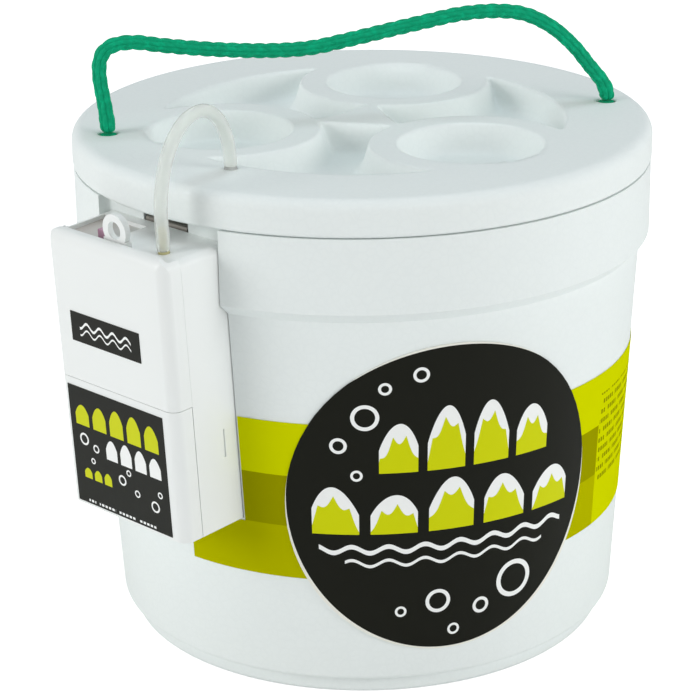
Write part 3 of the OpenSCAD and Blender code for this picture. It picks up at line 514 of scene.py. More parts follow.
def squared_ends(along, radius):
    """The radius drawn in by up to 30 % over the last 0.8 mm, for an end that lies on something."""
    near = np.minimum(along - along[0], along[-1] - along) / SQUARED_LENGTH
    return radius * np.clip(0.7 + 0.3 * near, 0, 1)[:, None]


arch = [np.array([0, 0, LID_TOP + z * MM]) - share * ROPE_HOLE_R * rope_out for share, z in ROPE_ARCH]
arch_path, arch_at = route(arch, ROPE_STEP)
to_end = np.minimum(arch_at, arch_at[-1] - arch_at)
flare = 1 + ARCH_FLARE * np.exp(-(to_end / ARCH_FLARE_LENGTH) ** 2)
arch_radius = seated_ends(arch_at, braid(arch_at, ROPE_COLUMNS) * flare[:, None])
rope_handle = surface("rope_arch", rings(arch_path, rope_side, arch_radius))
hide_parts("rope_handle")
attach(rope_handle, "handle")
print("rope arch", round(arch_at[-1] / MM, 1), "mm long,", len(rope_handle.data.polygons), "faces")

# %% [markdown]
# ## Rope legs and knots
# Each end of the rope goes down through lid and rim and ends in a knot in its pocket. A knot is one
# strand laid in three lobes, which is the shape that a stopper knot takes when it is pulled tight.

# %% Rope legs and knots
KNOT_R, KNOT_POINTS, KNOT_COLUMNS = 3.0 * MM, 240, 48
LEG_GAP, LEG_SWELL, LEG_SWELL_LENGTH = 0.4 * MM, 0.32, 1.6 * MM


def rope_leg(side, direction):
    """The leg through lid and rim: a straight braid that swells where it meets the arch."""
    low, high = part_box(f"rope_leg_{side}")
    foot = polar(direction, ROPE_HOLE_R, low.z)
    top = polar(direction, ROPE_HOLE_R, high.z - LEG_GAP)
    path, at = route([foot, 0.5 * (foot + top), top], ROPE_STEP)
    swollen = 1 + LEG_SWELL * np.exp(-((at[-1] - at) / LEG_SWELL_LENGTH) ** 2)
    radius = squared_ends(at, braid(at, ROPE_COLUMNS) * swollen[:, None])
    leg = surface(f"rope_leg_{side}_braid", rings(path, rope_side, radius))
    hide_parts(f"rope_leg_{side}")
    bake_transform(leg)
    return leg


def rope_knot(side):
    """The knot: the closed line (sin a + 1.1 sin 2a, cos a - 1.1 cos 2a, -sin 3a), fitted to the CAD box."""
    low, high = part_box(f"rope_knot_{side}")
    centre = 0.5 * (np.array(low) + np.array(high))
    reach = 0.5 * (np.array(high) - np.array(low)) - KNOT_R
    a = np.linspace(0, 2 * np.pi, KNOT_POINTS + 1)[:-1]
    lobe = np.stack([np.sin(a) + 1.1 * np.sin(2 * a), np.cos(a) - 1.1 * np.cos(2 * a), -np.sin(3 * a)], -1)
    line = centre + lobe / np.abs(lobe).max(0) * reach
    tangent = unit(np.roll(line, -1, 0) - np.roll(line, 1, 0))
    across = unit(np.cross(tangent, line - centre))
    at = np.r_[0, np.cumsum(np.linalg.norm(np.diff(line, axis=0), axis=1))]
    strand = rings_between(line, np.cross(across, tangent), across, braid(at, KNOT_COLUMNS, KNOT_R))
    knot = surface(f"rope_knot_{side}_strand", strand, "loop")
    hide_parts(f"rope_knot_{side}")
    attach(knot, "bucket")
    return knot


rope_pieces = [rope_handle]
for side, direction in (("left", ROPE_DIRECTION), ("right", ROPE_DIRECTION + 180)):
    rope_pieces += [rope_leg(side, direction), rope_knot(side)]
print("two legs and two knots")

# %% [markdown]
# ## The lid's trays
# The lid is one moulding whose trays have soft edges, because foam beads can't fill a sharp corner. Cut by
# a Boolean, the trays would have sharp rims, so they are a formula over the lid's top instead. The depth
# grows with s, the distance inside the tray's edge, as 14 mm * (1 - exp(-(s / a)^1.5)), which starts flat,
# falls steeply and ends flat. For a round tray s is its radius less the distance from its centre. For a fan
# tray s is the least distance to its four edges, and the least is taken softly, so that the corners between
# two edges are round as well.

# %% Trays
LID_R, LID_LOW, LID_ROUND, LOW_ROUND = 140 * MM, 232.3 * MM, 5.7 * MM, 2.2 * MM
PLUG_TOP_R, PLUG_LOW_R, PLUG_LOW = 110.2 * MM, 109.0 * MM, 216.3 * MM
TRAY_DEPTH, BOWL_R, BOWL_PLACE_R, RIB = 14 * MM, 34 * MM, 70 * MM, 14 * MM
FAN_R, FAN_INNER, TRAY_DIRECTION = 98 * MM, 13 * MM, 48.4
HOSE_HOLE_PLACE, HOSE_HOLE_R, HOSE_HOLE_FLARE = 104.5 * MM, 3.2 * MM, 0.4 * MM
ROPE_HOLE_HALF, ROPE_HOLE_FLARE, CUTTER_BEYOND = 4.5 * MM, 1.2 * MM, 3 * MM
LID_COLUMNS, TOP_STEP, TRAYS_END = 640, 1.0, 101 * MM
TRAY_LIP, BOWL_SOFT, FAN_SOFT, CORNER_SOFT = 0.8 * MM, 3.2 * MM, 3.0 * MM, 1.3 * MM


def tray_depth(x, y):
    """Depth of the trays at points of the lid's top."""
    def depth(inside, width):
        return TRAY_DEPTH * (1 - np.exp(-(np.maximum(inside, 0) / width) ** 1.5))

    total = np.zeros_like(x)
    centres = [polar(TRAY_DIRECTION + 120 * k, BOWL_PLACE_R, 0) for k in range(3)]
    off = [np.hypot(x - c[0], y - c[1]) for c in centres]
    for k in range(3):
        total = np.maximum(total, depth(BOWL_R + TRAY_LIP - off[k], BOWL_SOFT))
        out = polar(TRAY_DIRECTION + 60 + 120 * k, 1, 0)
        edges = [FAN_R - np.hypot(x, y), x * out[0] + y * out[1] - FAN_INNER,
                 off[k] - BOWL_R - RIB, off[(k + 1) % 3] - BOWL_R - RIB]
        inside = -CORNER_SOFT * np.log(sum(np.exp(-np.clip(e, -0.05, 0.2) / CORNER_SOFT) for e in edges))
        total = np.maximum(total, depth(inside + TRAY_LIP, FAN_SOFT))
    return total


# %% [markdown]
# ## The lid's surface
# A profile from the middle over the rim and under the plug is turned round the axis as a polar grid, and its
# flat top is lowered by the trays' depth.

# %% The lid's surface
def arc(centre_r, centre_z, radius, start, end, count):
    """Points of a quarter or half circle in the profile, angles in degrees from the outward direction."""
    a = np.radians(np.linspace(start, end, count))
    return np.stack([centre_r + radius * np.cos(a), centre_z + radius * np.sin(a)], 1)


flat = np.arange(0.9, (LID_R - LID_ROUND) / MM - 0.1, TOP_STEP) * MM
flat = flat[(flat < TRAYS_END) | (np.arange(len(flat)) % 3 == 0)]
profile = np.vstack([
    np.stack([flat, np.full(len(flat), LID_TOP)], 1),
    arc(LID_R - LID_ROUND, LID_TOP - LID_ROUND, LID_ROUND, 90, 0, 9),
    arc(LID_R - LOW_ROUND, LID_LOW + LOW_ROUND, LOW_ROUND, 0, -90, 6),
    [(PLUG_TOP_R + 0.2 * MM, LID_LOW), (PLUG_TOP_R, LID_LOW - 0.2 * MM)],
    arc(PLUG_LOW_R - LOW_ROUND, PLUG_LOW + LOW_ROUND, LOW_ROUND, 0, -90, 5),
    [(60 * MM, PLUG_LOW), (1 * MM, PLUG_LOW)]])
turn = np.linspace(0, 2 * np.pi, LID_COLUMNS, endpoint=False)
lid_x, lid_y = profile[:, :1] * np.cos(turn), profile[:, :1] * np.sin(turn)
lid_z = np.repeat(profile[:, 1:], LID_COLUMNS, 1)
lid_z[:len(flat)] -= tray_depth(lid_x[:len(flat)], lid_y[:len(flat)])
lid = surface("foam_lid", np.stack([lid_x, lid_y, lid_z], -1))
deepest = tray_depth(lid_x, lid_y).max() / MM
print("lid", len(lid.data.polygons), "faces, deepest tray", round(float(deepest), 2), "mm")


# %% [markdown]
# ## Holes through the lid
# Rope and hose pass through round holes, cut by a Boolean whose cutter flares a little at the mouth.

# %% Holes
def bored(piece, places):
    """Cuts round holes with a flared mouth through the lid: (direction, distance, radius, flare) for each."""
    for direction, distance, radius, flare in places:
        mouth = arc(radius + flare, LID_TOP - flare, flare, 180, 90, 5)
        mouth = np.vstack([[(radius, PLUG_LOW - CUTTER_BEYOND)], mouth,
                           [(radius + flare, LID_TOP + CUTTER_BEYOND)]])
        cutter = spun("cutter", mouth, 48, polar(direction, distance, 0))
        cut = piece.modifiers.new("hole", "BOOLEAN")
        cut.object, cut.operation, cut.solver = cutter, "DIFFERENCE", "EXACT"
        bpy.context.view_layer.update()
        mesh = bpy.data.meshes.new_from_object(piece.evaluated_get(bpy.context.evaluated_depsgraph_get()))
        piece.modifiers.clear()
        piece.data = mesh
        bpy.data.objects.remove(cutter)


bored(lid, [(ROPE_DIRECTION, ROPE_HOLE_R, ROPE_HOLE_HALF, ROPE_HOLE_FLARE),
            (ROPE_DIRECTION + 180, ROPE_HOLE_R, ROPE_HOLE_HALF, ROPE_HOLE_FLARE),
            (HOSE_DIRECTION, HOSE_HOLE_PLACE, HOSE_HOLE_R, HOSE_HOLE_FLARE)])
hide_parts("lid")
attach(lid, "lid")
print("lid with three holes", len(lid.data.polygons), "faces")

# %% [markdown]
# ## Softened copies of CAD pieces
# Moulded foam and plastic never have razor edges. A CAD node comes as loose triangles, so its copy is
# merged and flat parts are joined to large faces. Then each edge that turns sharply gets a weight, and a
# Bevel modifier rounds it by that share of the widest rounding: a mould's outer rims are rounder than its
# seams. Normals are taken from the large faces, which keeps flat walls flat.

# %% Softened copies
SAME_POINT, FLAT_ANGLE, SHARP_ANGLE = 0.004 * MM, 0.6, 32


def softened(node, name, width, segments=2, body=None, share=None):
    """A copy of a CAD node with edges rounded over width millimetres. share(midpoints) gives the share
    of the width that each sharp edge gets."""
    mesh = frame["nodes"][node].data.copy()
    mesh.name = name
    piece = bpy.data.objects.new(name, mesh)
    bpy.context.collection.objects.link(piece)
    shape = bmesh.new()
    shape.from_mesh(mesh)
    bmesh.ops.remove_doubles(shape, verts=shape.verts, dist=SAME_POINT)
    bmesh.ops.dissolve_limit(shape, angle_limit=np.radians(FLAT_ANGLE), verts=shape.verts,
                             edges=shape.edges, delimit={"NORMAL"})
    weight = shape.edges.layers.float.new("bevel_weight_edge")
    sharp = [e for e in shape.edges
             if len(e.link_faces) == 2 and e.calc_face_angle(0) > np.radians(SHARP_ANGLE)]
    middle = np.array([(e.verts[0].co + e.verts[1].co) * 0.5 for e in sharp])
    amounts = share(middle) if share else np.ones(len(sharp))
    for e, amount in zip(sharp, amounts):
        e[weight] = amount
    shape.to_mesh(mesh)
    shape.free()
    if mesh.has_custom_normals:
        bpy.context.view_layer.objects.active = piece
        bpy.ops.mesh.customdata_custom_splitnormals_clear()
    mesh.polygons.foreach_set("use_smooth", np.full(len(mesh.polygons), True))
    bevel = piece.modifiers.new("rounded edges", "BEVEL")
    bevel.width = width * MM
    bevel.segments = segments
    bevel.limit_method = "WEIGHT"
    bevel.harden_normals = True
    bevel.miter_outer = "MITER_ARC"
    mesh.update()
    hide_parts(node)
    if body:
        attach(piece, body)
    return piece


# %% [markdown]
# ## Which edges are rounded most
# The pump leans with the wall, so its edges are picked in its own axes, in millimetres: PUMP_ALONG runs
# along its front, PUMP_IN into the wall and PUMP_UP up its height.

# %% Shares of the rounding
PUMP_ALONG = np.array([0.74314, -0.66913, 0])
PUMP_FOOT = np.array([-106.421, -118.192, 88.024])
PUMP_UP = np.array([-0.03827, -0.04251, 0.99836])
PUMP_IN = np.cross(PUMP_UP, PUMP_ALONG)
CASE_TOP, CASE_HALF, CASE_DEPTH = 134.5, 39.7, 38.4


def in_pump(points):
    """Place in the pump's own axes, in millimetres: along the front, into the wall, up."""
    off = np.asarray(points) / MM - PUMP_FOOT
    return off @ PUMP_ALONG, off @ PUMP_IN, off @ PUMP_UP


def pump_way(look, axis):
    """The same for the points that a finish colours: the way from the pump's foot along one of its axes."""
    parts = zip(look.coordinates(), PUMP_FOOT, axis)
    terms = [(place - foot) * share for place, foot, share in parts if share]
    return sum(terms[1:], terms[0])


def case_share(middle):
    """The rear top edge is rounded most, the ring and the foot's corners nearly as much, the rest less."""
    along, deep, high = in_pump(middle)
    rear_top = (high > CASE_TOP - 0.3) & (deep > CASE_DEPTH - 1.2)
    foot_corner = (np.abs(along) > CASE_HALF - 1.5) & (high < 2)
    hanging_ring = (high > CASE_TOP + 0.2) & (deep < 11)
    return np.where(rear_top, 1.0, np.where(foot_corner | hanging_ring, 0.8, 0.4))


def pail_share(middle):
    """The rim's outer edge is rounded most."""
    rim = (np.hypot(middle[:, 0], middle[:, 1]) > LID_R - 2 * MM) & (middle[:, 2] > LID_LOW - 1.3 * MM)
    return np.where(rim, 1.0, 0.6)


# %% Softened pieces
body_of_node = {node: body for body, place in frame["bodies"].items()
                for node in frame["nodes"] if frame["nodes"][node].parent == place}
soft = {"lid": lid}
for node, name, width, segments, share in (
        ("bucket", "foam_pail", 2.2, 4, pail_share), ("rear_case", "pump_rear_case", 1.6, 4, case_share),
        ("front_cover", "pump_front_cover", 0.85, 3, None),
        ("battery_door", "pump_battery_door", 0.85, 3, None),
        ("switch_knob", "slide_knob", 0.4, 2, None), ("switch_bezel", "switch_plate", 0.3, 2, None),
        ("belt_clip", "steel_clip", 0.15, 1, None)):
    soft[node] = softened(node, name, width, segments, body_of_node[node], share)
    print(name, len(soft[node].data.polygons), "faces before rounding")

# %% [markdown]
# ## The cover's lip and the switch's well
# The mould rounds the cover's front over towards its lip, and the switch's well reaches close to the case's
# left wall. The cover's copy is sliced at 10 levels over its last 6.5 mm and each slice is moved back by a
# quarter ellipse, 4 mm * (1 - sqrt(1 - rise^2)). The side walls, from 9 mm back, stay where they are.

# %% Lip and well
COVER_TOP, LIP_RISE, LIP_BACK, LIP_SLICES = 137.0, 6.5, 4.0, 10
SIDE_WALL, SIDE_FADE = 9, 3
WELL_LEFT, WELL_SHIFT, WELL_FLOOR = -30.7, 4.6, 130.5


def corners(mesh):
    """The corners of a mesh as an array."""
    places = np.empty(len(mesh.vertices) * 3)
    mesh.vertices.foreach_get("co", places)
    return places.reshape(-1, 3)


def moved(mesh, shift):
    """Moves the corners of a mesh by the rows of shift."""
    mesh.vertices.foreach_set("co", (corners(mesh) + shift).ravel())
    mesh.update()


cover = soft["front_cover"].data
shape = bmesh.new()
shape.from_mesh(cover)
for rise in np.sin(np.linspace(0, np.pi / 2, LIP_SLICES, endpoint=False)):
    level = (PUMP_FOOT + (COVER_TOP - LIP_RISE * (1 - rise)) * PUMP_UP) * MM
    bmesh.ops.bisect_plane(shape, geom=shape.verts[:] + shape.edges[:] + shape.faces[:],
                           dist=0.0001 * MM, plane_co=level, plane_no=PUMP_UP)
shape.to_mesh(cover)
shape.free()
along, deep, high = in_pump(corners(cover))
rise = np.clip((high - COVER_TOP + LIP_RISE) / LIP_RISE, 0, 1)
back = LIP_BACK * (1 - np.sqrt(1 - rise ** 2)) * np.clip((SIDE_WALL - deep) / SIDE_FADE, 0, 1)
moved(cover, back[:, None] * PUMP_IN * MM)
print("lip rounded:", (back > 0).sum(), "corners moved back by up to", round(back.max(), 1), "mm")

for node, far_left in (("rear_case", WELL_LEFT - 0.1), ("switch_bezel", -CASE_HALF)):
    mesh = soft[node].data
    along, deep, high = in_pump(corners(mesh))
    edge = (along > far_left) & (along < WELL_LEFT + 0.1) & (high > WELL_FLOOR)
    moved(mesh, -(edge * WELL_SHIFT * MM)[:, None] * PUMP_ALONG)
    print(node, edge.sum(), "corners of the well moved", WELL_SHIFT, "mm")

# %% [markdown]
# ## The diaphragm
# The diaphragm is a rubber disc with a stud. The pump head holds the disc and the arm works the stud.

# %% Diaphragm
diaphragm = softened("diaphragm", "pump_diaphragm", 0.3)
along, deep, high = in_pump(corners(diaphragm.data))
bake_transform(diaphragm)
print("diaphragm", round(high.max() - high.min(), 1), "mm from disc to stud")

# %% [markdown]
# ## Foam
# Bead foam is steam-welded from small white beads. Their outlines show as a net of very fine grooves, and
# the surface is matt with a faint, cloudy change of tone. A Voronoi texture gives the net as relief in the
# shader, because grooves this fine need no faces.

# %% Foam
BEAD = 4.2 * MM
foam = Finish("bead_foam", rgb(237, 243, 241), 0.62, Specular_IOR_Level=0.35)
bead = foam.cells(BEAD)
groove = (bead * 6).at_most(1)
foam.paint((foam.noise(0.05) * 0.35, rgb(231, 238, 238)), ((1 - groove) * 0.05, rgb(205, 214, 216)))
foam.relief(groove, 0.00008, 0.35)
finish(soft["bucket"], foam)
finish(soft["lid"], foam)
print("foam with beads of", round(BEAD / MM, 1), "mm on pail and lid")

# %% [markdown]
# ## Rope, hose and stone finishes
# Polypropylene yarn is saturated green, darker in fine streaks along the fibres, with fresher patches. The
# hose is clear vinyl with a slight milkiness, which a Transmission weight under 1 gives. The stone is
# blue-grey grit with pale specks.

# %% Soft finishes
rope = Finish("green_yarn", rgb(0, 170, 122), 0.75, Specular_IOR_Level=0.15)
fibre = rope.noise(0.0006, 3.0, (1, 1, 0.35))
fresh = (rope.noise(0.004) * 1.6 - 0.75).at_least(0)
rope.paint((fibre * 0.7, rgb(0, 138, 98)), (fresh, rgb(0, 205, 150)))
rope.relief(fibre, 0.0003, 0.7)
for piece in rope_pieces:
    finish(piece, rope)

vinyl = Finish("clear_vinyl", rgb(246, 249, 246), 0.12, Transmission_Weight=0.66, IOR=1.2)
vinyl.set("Roughness", vinyl.noise(0.01) * 0.12 + 0.16)
finish(air_hose, vinyl)
finish(drop_hose, vinyl)

grit = Finish("blue_grit", rgb(112, 134, 158), 0.9)
speck = grit.cells(0.0011, "F1")
grit.paint((speck, rgb(176, 192, 208)))
grit.relief(speck, 0.0004)
finish(air_stone, grit)
print(len(rope_pieces), "rope pieces, two hoses and the stone coated")

# %% [markdown]
# ## Plastics, metals and inner pieces
# The case is glossy white plastic with a very slight wave from the mould. The plate in the switch's well
# has painted shade and light: darker at the left, where the well is in shade, and paler to the right, where
# light reflects into it. Inner parts are plain moulded plastic, rubber, drawn steel and lacquered copper
# wire. Each has a little noise, because real surfaces are never quite even.

# %% Plain finishes
# Where the switch plate's painted light begins along the pump's front, and the width over which its painted
# shade fades
PAINTED_LIGHT_FROM, PAINTED_LIGHT_OVER, WINDINGS_PER_MM = -33, 22, 2.4
case = Finish("white_case", rgb(240, 243, 241), 0.32)
case.paint((case.noise(0.03) * 0.25, rgb(230, 235, 234)))
case.relief(case.noise(0.004), 0.00004, 0.4)


def mottled(name, colour, roughness, size, amount, other):
    """A finish whose colour drifts in clouds, size across, by up to an amount towards another colour."""
    look = Finish(name, rgb(*colour), roughness)
    return look.paint((look.noise(size) * amount, rgb(*other)))


dark = mottled("dark_plastic", (150, 141, 132), 0.5, 0.003, 0.5, (128, 119, 112))
plate = Finish("switch_plate_painted_shade", rgb(194, 188, 182), 0.4)
# Painted shade and light: the plate is darkest at the well's left and turns paler to the right
painted_light = ((pump_way(plate, PUMP_ALONG) - PAINTED_LIGHT_FROM) / PAINTED_LIGHT_OVER).at_least(0).at_most(1)
plate.paint((plate.noise(0.003) * 0.5, rgb(176, 168, 162)), (painted_light, rgb(212, 214, 210)))
knob = mottled("plum_plastic", (182, 140, 162), 0.35, 0.002, 0.4, (148, 100, 126))
steel = Finish("sprung_steel", rgb(112, 110, 104), 0.3, Metallic=1.0)
steel.set("Roughness", steel.noise(0.0008, 2, (1, 1, 0.06)) * 0.3 + 0.18)
inner = mottled("ivory_plastic", (224, 222, 208), 0.45, 0.004, 0.4, (206, 203, 188))
horn = mottled("horn_plastic", (206, 200, 150), 0.4, 0.002, 0.5, (186, 178, 122))
rubber = mottled("black_rubber", (34, 34, 34), 0.7, 0.002, 0.6, (52, 52, 52))
magnet = mottled("ferrite", (58, 58, 62), 0.6, 0.001, 0.6, (80, 80, 86))
copper = Finish("copper_wire", rgb(196, 116, 66), 0.35, Metallic=0.8)
tin = Finish("motor_steel", rgb(188, 190, 192), 0.28, Metallic=1.0)
tin.set("Roughness", tin.noise(0.001, 2, (1, 1, 0.1)) * 0.25 + 0.18)
# The winding's turns: fine stripes along the armature
x, _, z = copper.coordinates()
copper.paint((((x + z) * WINDINGS_PER_MM).frac() * 0.5, rgb(120, 60, 30)))

for node, look, slot in (("rear_case", case, "case_plastic"), ("front_cover", case, "case_plastic"),
                         ("battery_door", case, "case_plastic"), ("switch_knob", knob, "knob_plastic"),
                         ("switch_bezel", plate, "dark_plastic"), ("belt_clip", steel, "spring_steel")):
    finish(soft[node], look)
finish(stone_stem, dark)
finish(diaphragm, rubber)
PLAIN = {
    steel: ("clip_rivets", "case_screws", "pivot_pin", "motor_shaft", "contact_bridge", "contact_plus",
            "contact_minus"),
    inner: ("pump_head", "swing_arm", "eccentric", "motor_end_cap"),
    dark: ("switch_body",), horn: ("outlet_nipple",), rubber: ("valve_flaps",),
    copper: ("armature",), magnet: ("magnet_ring",), tin: ("motor_can",)}
for look, nodes in PLAIN.items():
    for node in nodes:
        coat(frame["nodes"][node], look)
print(sum(len(nodes) for nodes in PLAIN.values()), "CAD nodes coated as they are")

# %% [markdown]
# ## Labels
# The printed film is described on the unrolled wall: u runs round the wall in millimetres from the round
# label's centre, v runs up. Each motif is a formula of u and v, so that its edges stay sharp at any size.
# First come the motifs.

# %% Motifs
WALL_R, DISC_DIRECTION, DISC_Z, DISC_R = 129.85, 19.6, 101.9, 77.7
LIME, OLIVE, MUSTARD, PRINT = rgb(207, 213, 0), rgb(153, 152, 0), rgb(178, 178, 0), rgb(136, 136, 8)
BLACK, CREAM, WHITE = rgb(24, 25, 18), rgb(236, 236, 226), rgb(244, 246, 244)


def unrolled(look):
    """u and v on the wall, in millimetres from the round label's centre."""
    x, y, z = look.coordinates()
    angle = x.math("ARCTAN2", y * -1)
    return (angle - np.radians(DISC_DIRECTION)) * WALL_R, z - DISC_Z


def air_rings(u, v, marks):
    """Rings given as (centre u, centre v, radius, width): points whose distance from the centre differs
    from the radius by less than half the width."""
    total = None
    for centre_u, centre_v, radius, width in marks:
        ring = ((u - centre_u).hypot(v - centre_v) - radius).abs() < width / 2
        total = total | ring if total else ring
    return total


def span(value, low, high):
    """Points whose value lies between low and high."""
    return (value > low) & (value < high)


def hills(u, v, foot, height, length, shift, low, high, cap=3, gap=0.3):
    """A row of hills on a flat foot from low to high: the top is foot + height * |sin|^0.6, a little uneven
    along the row, and where |sin| is under gap nothing is printed. The cap hangs down from the top by a
    scalloped depth. Returns (body, cap)."""
    hump = (u * (np.pi / length) + shift).sin().abs()
    uneven = (u * 0.08 + 1).sin() * 0.14 + 0.86
    top = hump.power(0.6) * uneven * height + foot
    drip = (u * (3.7 * np.pi / length) + shift).sin().abs() * (0.5 * cap) + 0.5 * cap
    inside = (v > foot) & (v < top) & (hump > gap) & span(u, low, high)
    return inside, inside & (v > top - drip)


def swell(u, v, level, height, length, thick):
    """A wavy line of even thickness."""
    return ((u * (2 * np.pi / length)).sin() * height + level - v).abs() < thick / 2


def fine_print(u, v, pitch, low, high):
    """Lines of marks too small to read: rows a pitch apart, broken along u in two rhythms."""
    row = (v / pitch).floor()
    groups = (u * 0.071 + row * 0.37).frac() < 0.82
    marks = (u * 0.41 + row * 0.23).frac() < 0.66
    return ((v / pitch).frac() < 0.46) & groups & marks & span(v, low, high)


# %% [markdown]
# ## The round label
# The disc is black with a narrow pale border. It carries two rows of hills with white caps, two lines of
# swell under them and a few rings of air.

# %% Round label
DISC_HILLS = [
    dict(foot=16, height=33, length=22, shift=2.0, cap=10, low=-36, high=52),
    dict(foot=-15, height=27, length=27, shift=1.5708, cap=9, low=-67.5, high=67.5)]
DISC_RINGS = [(-40, 44, 5.5, 1.8), (-52, 30, 3.2, 1.5), (-31, 58, 2.4, 1.3), (-15, 64, 3.0, 1.4),
              (-44, 15, 2.2, 1.2), (34, -48, 8.5, 2.4), (16, -58, 3.4, 1.6), (-6, -52, 5.2, 1.8),
              (-24, -56, 2.2, 1.2), (2, -68, 2.4, 1.2)]
disc = Finish("disc_print", BLACK, 0.4, Specular_IOR_Level=0.1)
u, v = unrolled(disc)
layers = []
for row in DISC_HILLS:
    body, snow = hills(u, v, **row)
    layers += [(body, LIME), (snow, WHITE)]
upper_swell = swell(u, v, level=-23, height=1.6, length=17, thick=2.4) & (u.abs() < 62)
lower_swell = swell(u, v, level=-30, height=1.6, length=17, thick=1.6) & (u.abs() < 50)
border = u.hypot(v) > DISC_R - 0.9
layers += [(air_rings(u, v, DISC_RINGS) | upper_swell | lower_swell, WHITE), (border, CREAM)]
disc.paint(*layers)
disc.relief(disc.noise(0.0008), 0.00002, 0.3)
coat(frame["nodes"]["disc_label"], disc)
print(len(DISC_HILLS), "rows of hills and", len(DISC_RINGS), "rings on the round label")

# %% [markdown]
# ## The band
# The band is yellow-green all round, with a darker block in two tones behind the round label and small
# print beyond it. It is matt film, so it shines less than the labels.

# %% Band
BLOCK_TOP, BLOCK_SPLIT, BLOCK_END = 115, 89.3, 92
band = Finish("band_print", LIME, 0.6, Specular_IOR_Level=0.0)
u, v = unrolled(band)
up = v + DISC_Z
block = (up < BLOCK_TOP) & (u < BLOCK_END)
small_print = fine_print(u, up, pitch=5.0, low=85, high=131) & span(u, BLOCK_END + 1, 150)
band.paint((block, OLIVE), (block & (up < BLOCK_SPLIT), MUSTARD), (small_print, PRINT))
band.relief(band.noise(0.0008), 0.00002, 0.3)
coat(frame["nodes"]["wrap_band"], band)
print("band with a block up to", BLOCK_TOP, "mm, split at", BLOCK_SPLIT, "mm")

# %% [markdown]
# ## The pump's labels
# Both labels of the pump share one print, in millimetres along the pump's front and up from its foot. The
# lower label has three rows of small hills, rings and a line of small print. The upper one has two swells.

# %% Pump labels
LABEL_HILLS = [
    (LIME, dict(foot=42, height=14, length=12, shift=2.016, low=-31.7, high=28.3, gap=0.35)),
    (WHITE, dict(foot=29, height=11, length=10, shift=0.534, low=-11.7, high=28.3, gap=0.35)),
    (LIME, dict(foot=15, height=7, length=7, shift=0.315, low=-28.7, high=-7.7, gap=0.4))]
LABEL_RINGS = [(-25.7, 35, 2.6, 1.0), (-17.7, 32, 1.7, 0.8), (-20.7, 25, 1.2, 0.7), (-0.7, 21, 2.2, 0.9),
               (4.3, 26, 1.3, 0.7), (9.3, 17, 1.5, 0.7), (21.3, 14, 2.4, 0.9), (25.3, 21, 1.3, 0.7)]
label = Finish("pump_label_print", BLACK, 0.35, Specular_IOR_Level=0.2)
u, v = pump_way(label, PUMP_ALONG), pump_way(label, PUMP_UP)
layers = [(hills(u, v, **row)[0], colour) for colour, row in LABEL_HILLS]
tiny = fine_print(u, v, pitch=2.6, low=2.4, high=5.1) & span(u, -26.7, 21.3)
upper_swell = swell(u, v, level=93.6, height=1.5, length=9, thick=1.3)
lower_swell = swell(u, v, level=90.2, height=1.5, length=9, thick=0.9)
two_swells = (upper_swell | lower_swell) & span(u, -20.7, 14.3)
label.paint(*layers, (air_rings(u, v, LABEL_RINGS) | tiny | two_swells, WHITE))
for node in ("upper_label", "lower_label"):
    coat(frame["nodes"][node], label)
print(len(LABEL_HILLS), "rows of hills and", len(LABEL_RINGS), "rings on the pump's labels")

# %% [markdown]
# ## Cells
# The two D cells have a dark jacket with a coloured end and bare metal at both ends, seen once the door has
# slid down.

# %% Cells
cell = Finish("cell_jacket", rgb(52, 52, 54), 0.35, Metallic=0.3)
COLOURED_FROM, COLOURED_TO, METAL_BELOW, METAL_ABOVE = 44, 62, 5.6, 65.1
up = pump_way(cell, PUMP_UP)
cell.paint((span(up, COLOURED_FROM, COLOURED_TO), rgb(196, 130, 60)),
           ((up - COLOURED_FROM).abs() < 0.7, rgb(230, 230, 224)),
           ((up > METAL_ABOVE) | (up < METAL_BELOW), rgb(196, 198, 200)))
for node in ("battery_left", "battery_right"):
    coat(frame["nodes"][node], cell)
print("two cells, coloured from", COLOURED_FROM, "to", COLOURED_TO, "mm")

# %% [markdown]
# ## Floor, backdrop and light
# The photograph is lit softly from the front, so the fronts are brighter than the lid's top. The world is
# plain white for the camera and dimmer as a lamp. The floor is white paper that keeps the pail's shadow,
# and for the camera alone it glows a little, so that it meets the backdrop without an edge.

# %% Stage and light
STUDIO_FILL, FLOOR_GLOW, FLOOR = 0.38, 0.62, 12.0
world = bpy.data.worlds.new("studio")
bpy.context.scene.world = world
world.use_nodes = True
tree = world.node_tree
rays = tree.nodes.new("ShaderNodeLightPath")
seen = Field(tree, rays.outputs["Is Camera Ray"]) | Field(tree, rays.outputs["Is Transmission Ray"])
background = tree.nodes["Background"]
background.inputs["Color"].default_value = (1, 1, 1, 1)
tree.links.new((seen * (1 - STUDIO_FILL) + STUDIO_FILL).socket, background.inputs["Strength"])

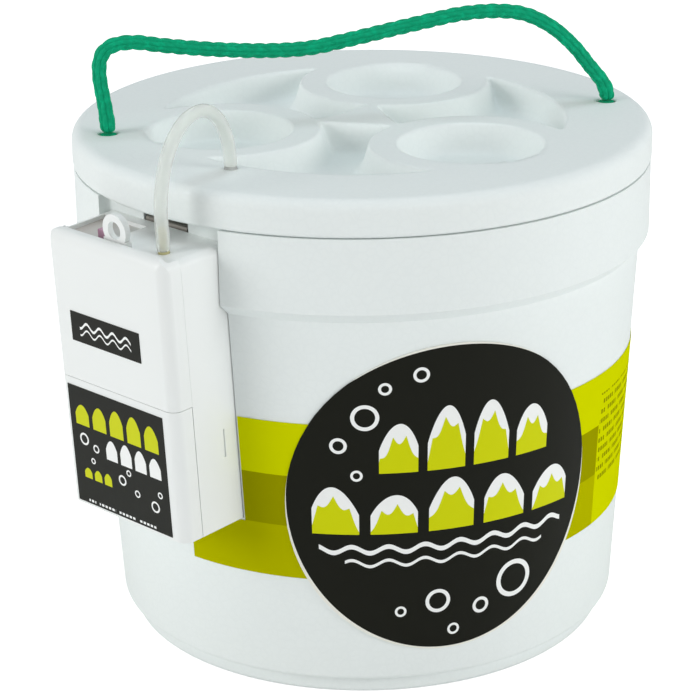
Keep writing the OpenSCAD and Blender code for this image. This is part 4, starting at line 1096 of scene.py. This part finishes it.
floor_mesh = bpy.data.meshes.new("floor")
floor_mesh.from_pydata([(-FLOOR, -FLOOR, 0), (FLOOR, -FLOOR, 0), (FLOOR, FLOOR, 0), (-FLOOR, FLOOR, 0)], [],
                       [(0, 1, 2, 3)])
floor = bpy.data.objects.new("floor", floor_mesh)
bpy.context.collection.objects.link(floor)
paper = Finish("white_paper", rgb(252, 252, 252), 0.9)
tree = paper.tree
rays = tree.nodes.new("ShaderNodeLightPath")
glow = tree.nodes.new("ShaderNodeEmission")
tree.links.new((Field(tree, rays.outputs["Is Camera Ray"]) * FLOOR_GLOW).socket, glow.inputs["Strength"])
add = tree.nodes.new("ShaderNodeAddShader")
tree.links.new(paper.shader.outputs[0], add.inputs[0])
tree.links.new(glow.outputs[0], add.inputs[1])
tree.links.new(add.outputs[0], tree.nodes["Material Output"].inputs["Surface"])
floor_mesh.materials.append(paper.material)
floor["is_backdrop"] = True


def soft_lamp(name, place, target, size, power, colour=(1, 1, 1)):
    """A round soft box of the given size that looks at the target."""
    data = bpy.data.lights.new(name, "AREA")
    data.shape = "DISK"
    data.size = size
    data.energy = power
    data.color = colour
    lamp = bpy.data.objects.new(name, data)
    bpy.context.collection.objects.link(lamp)
    lamp.location = place
    lamp.rotation_euler = (Vector(target) - Vector(place)).to_track_quat("-Z", "Y").to_euler()


soft_lamp("left", (-1.9, -0.9, 0.85), (0, 0, 0.15), 1.2, 20)
soft_lamp("right", (1.9, -0.9, 0.85), (0, 0, 0.15), 1.2, 19.5)
soft_lamp("above", (0.1, 0.2, 2.0), (0, 0, 0.2), 0.9, 8, (0.8, 0.92, 1.0))
print(len(bpy.data.lights), "lamps")

# %% [markdown]
# ## Sizes
# The bounds before and after the dressing are printed.

# %% Bounds at the end
size_at_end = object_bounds()


def plain(value):
    """Bounds as plain lists: a vector, a tuple and an array count as lists."""
    if isinstance(value, dict):
        return {key: plain(part) for key, part in value.items()}
    if hasattr(value, "__len__"):
        return [plain(part) for part in value]
    return float(value)


{"start": plain(size_at_start), "end": plain(size_at_end)}
print("bounds", plain(size_at_start), plain(size_at_end))
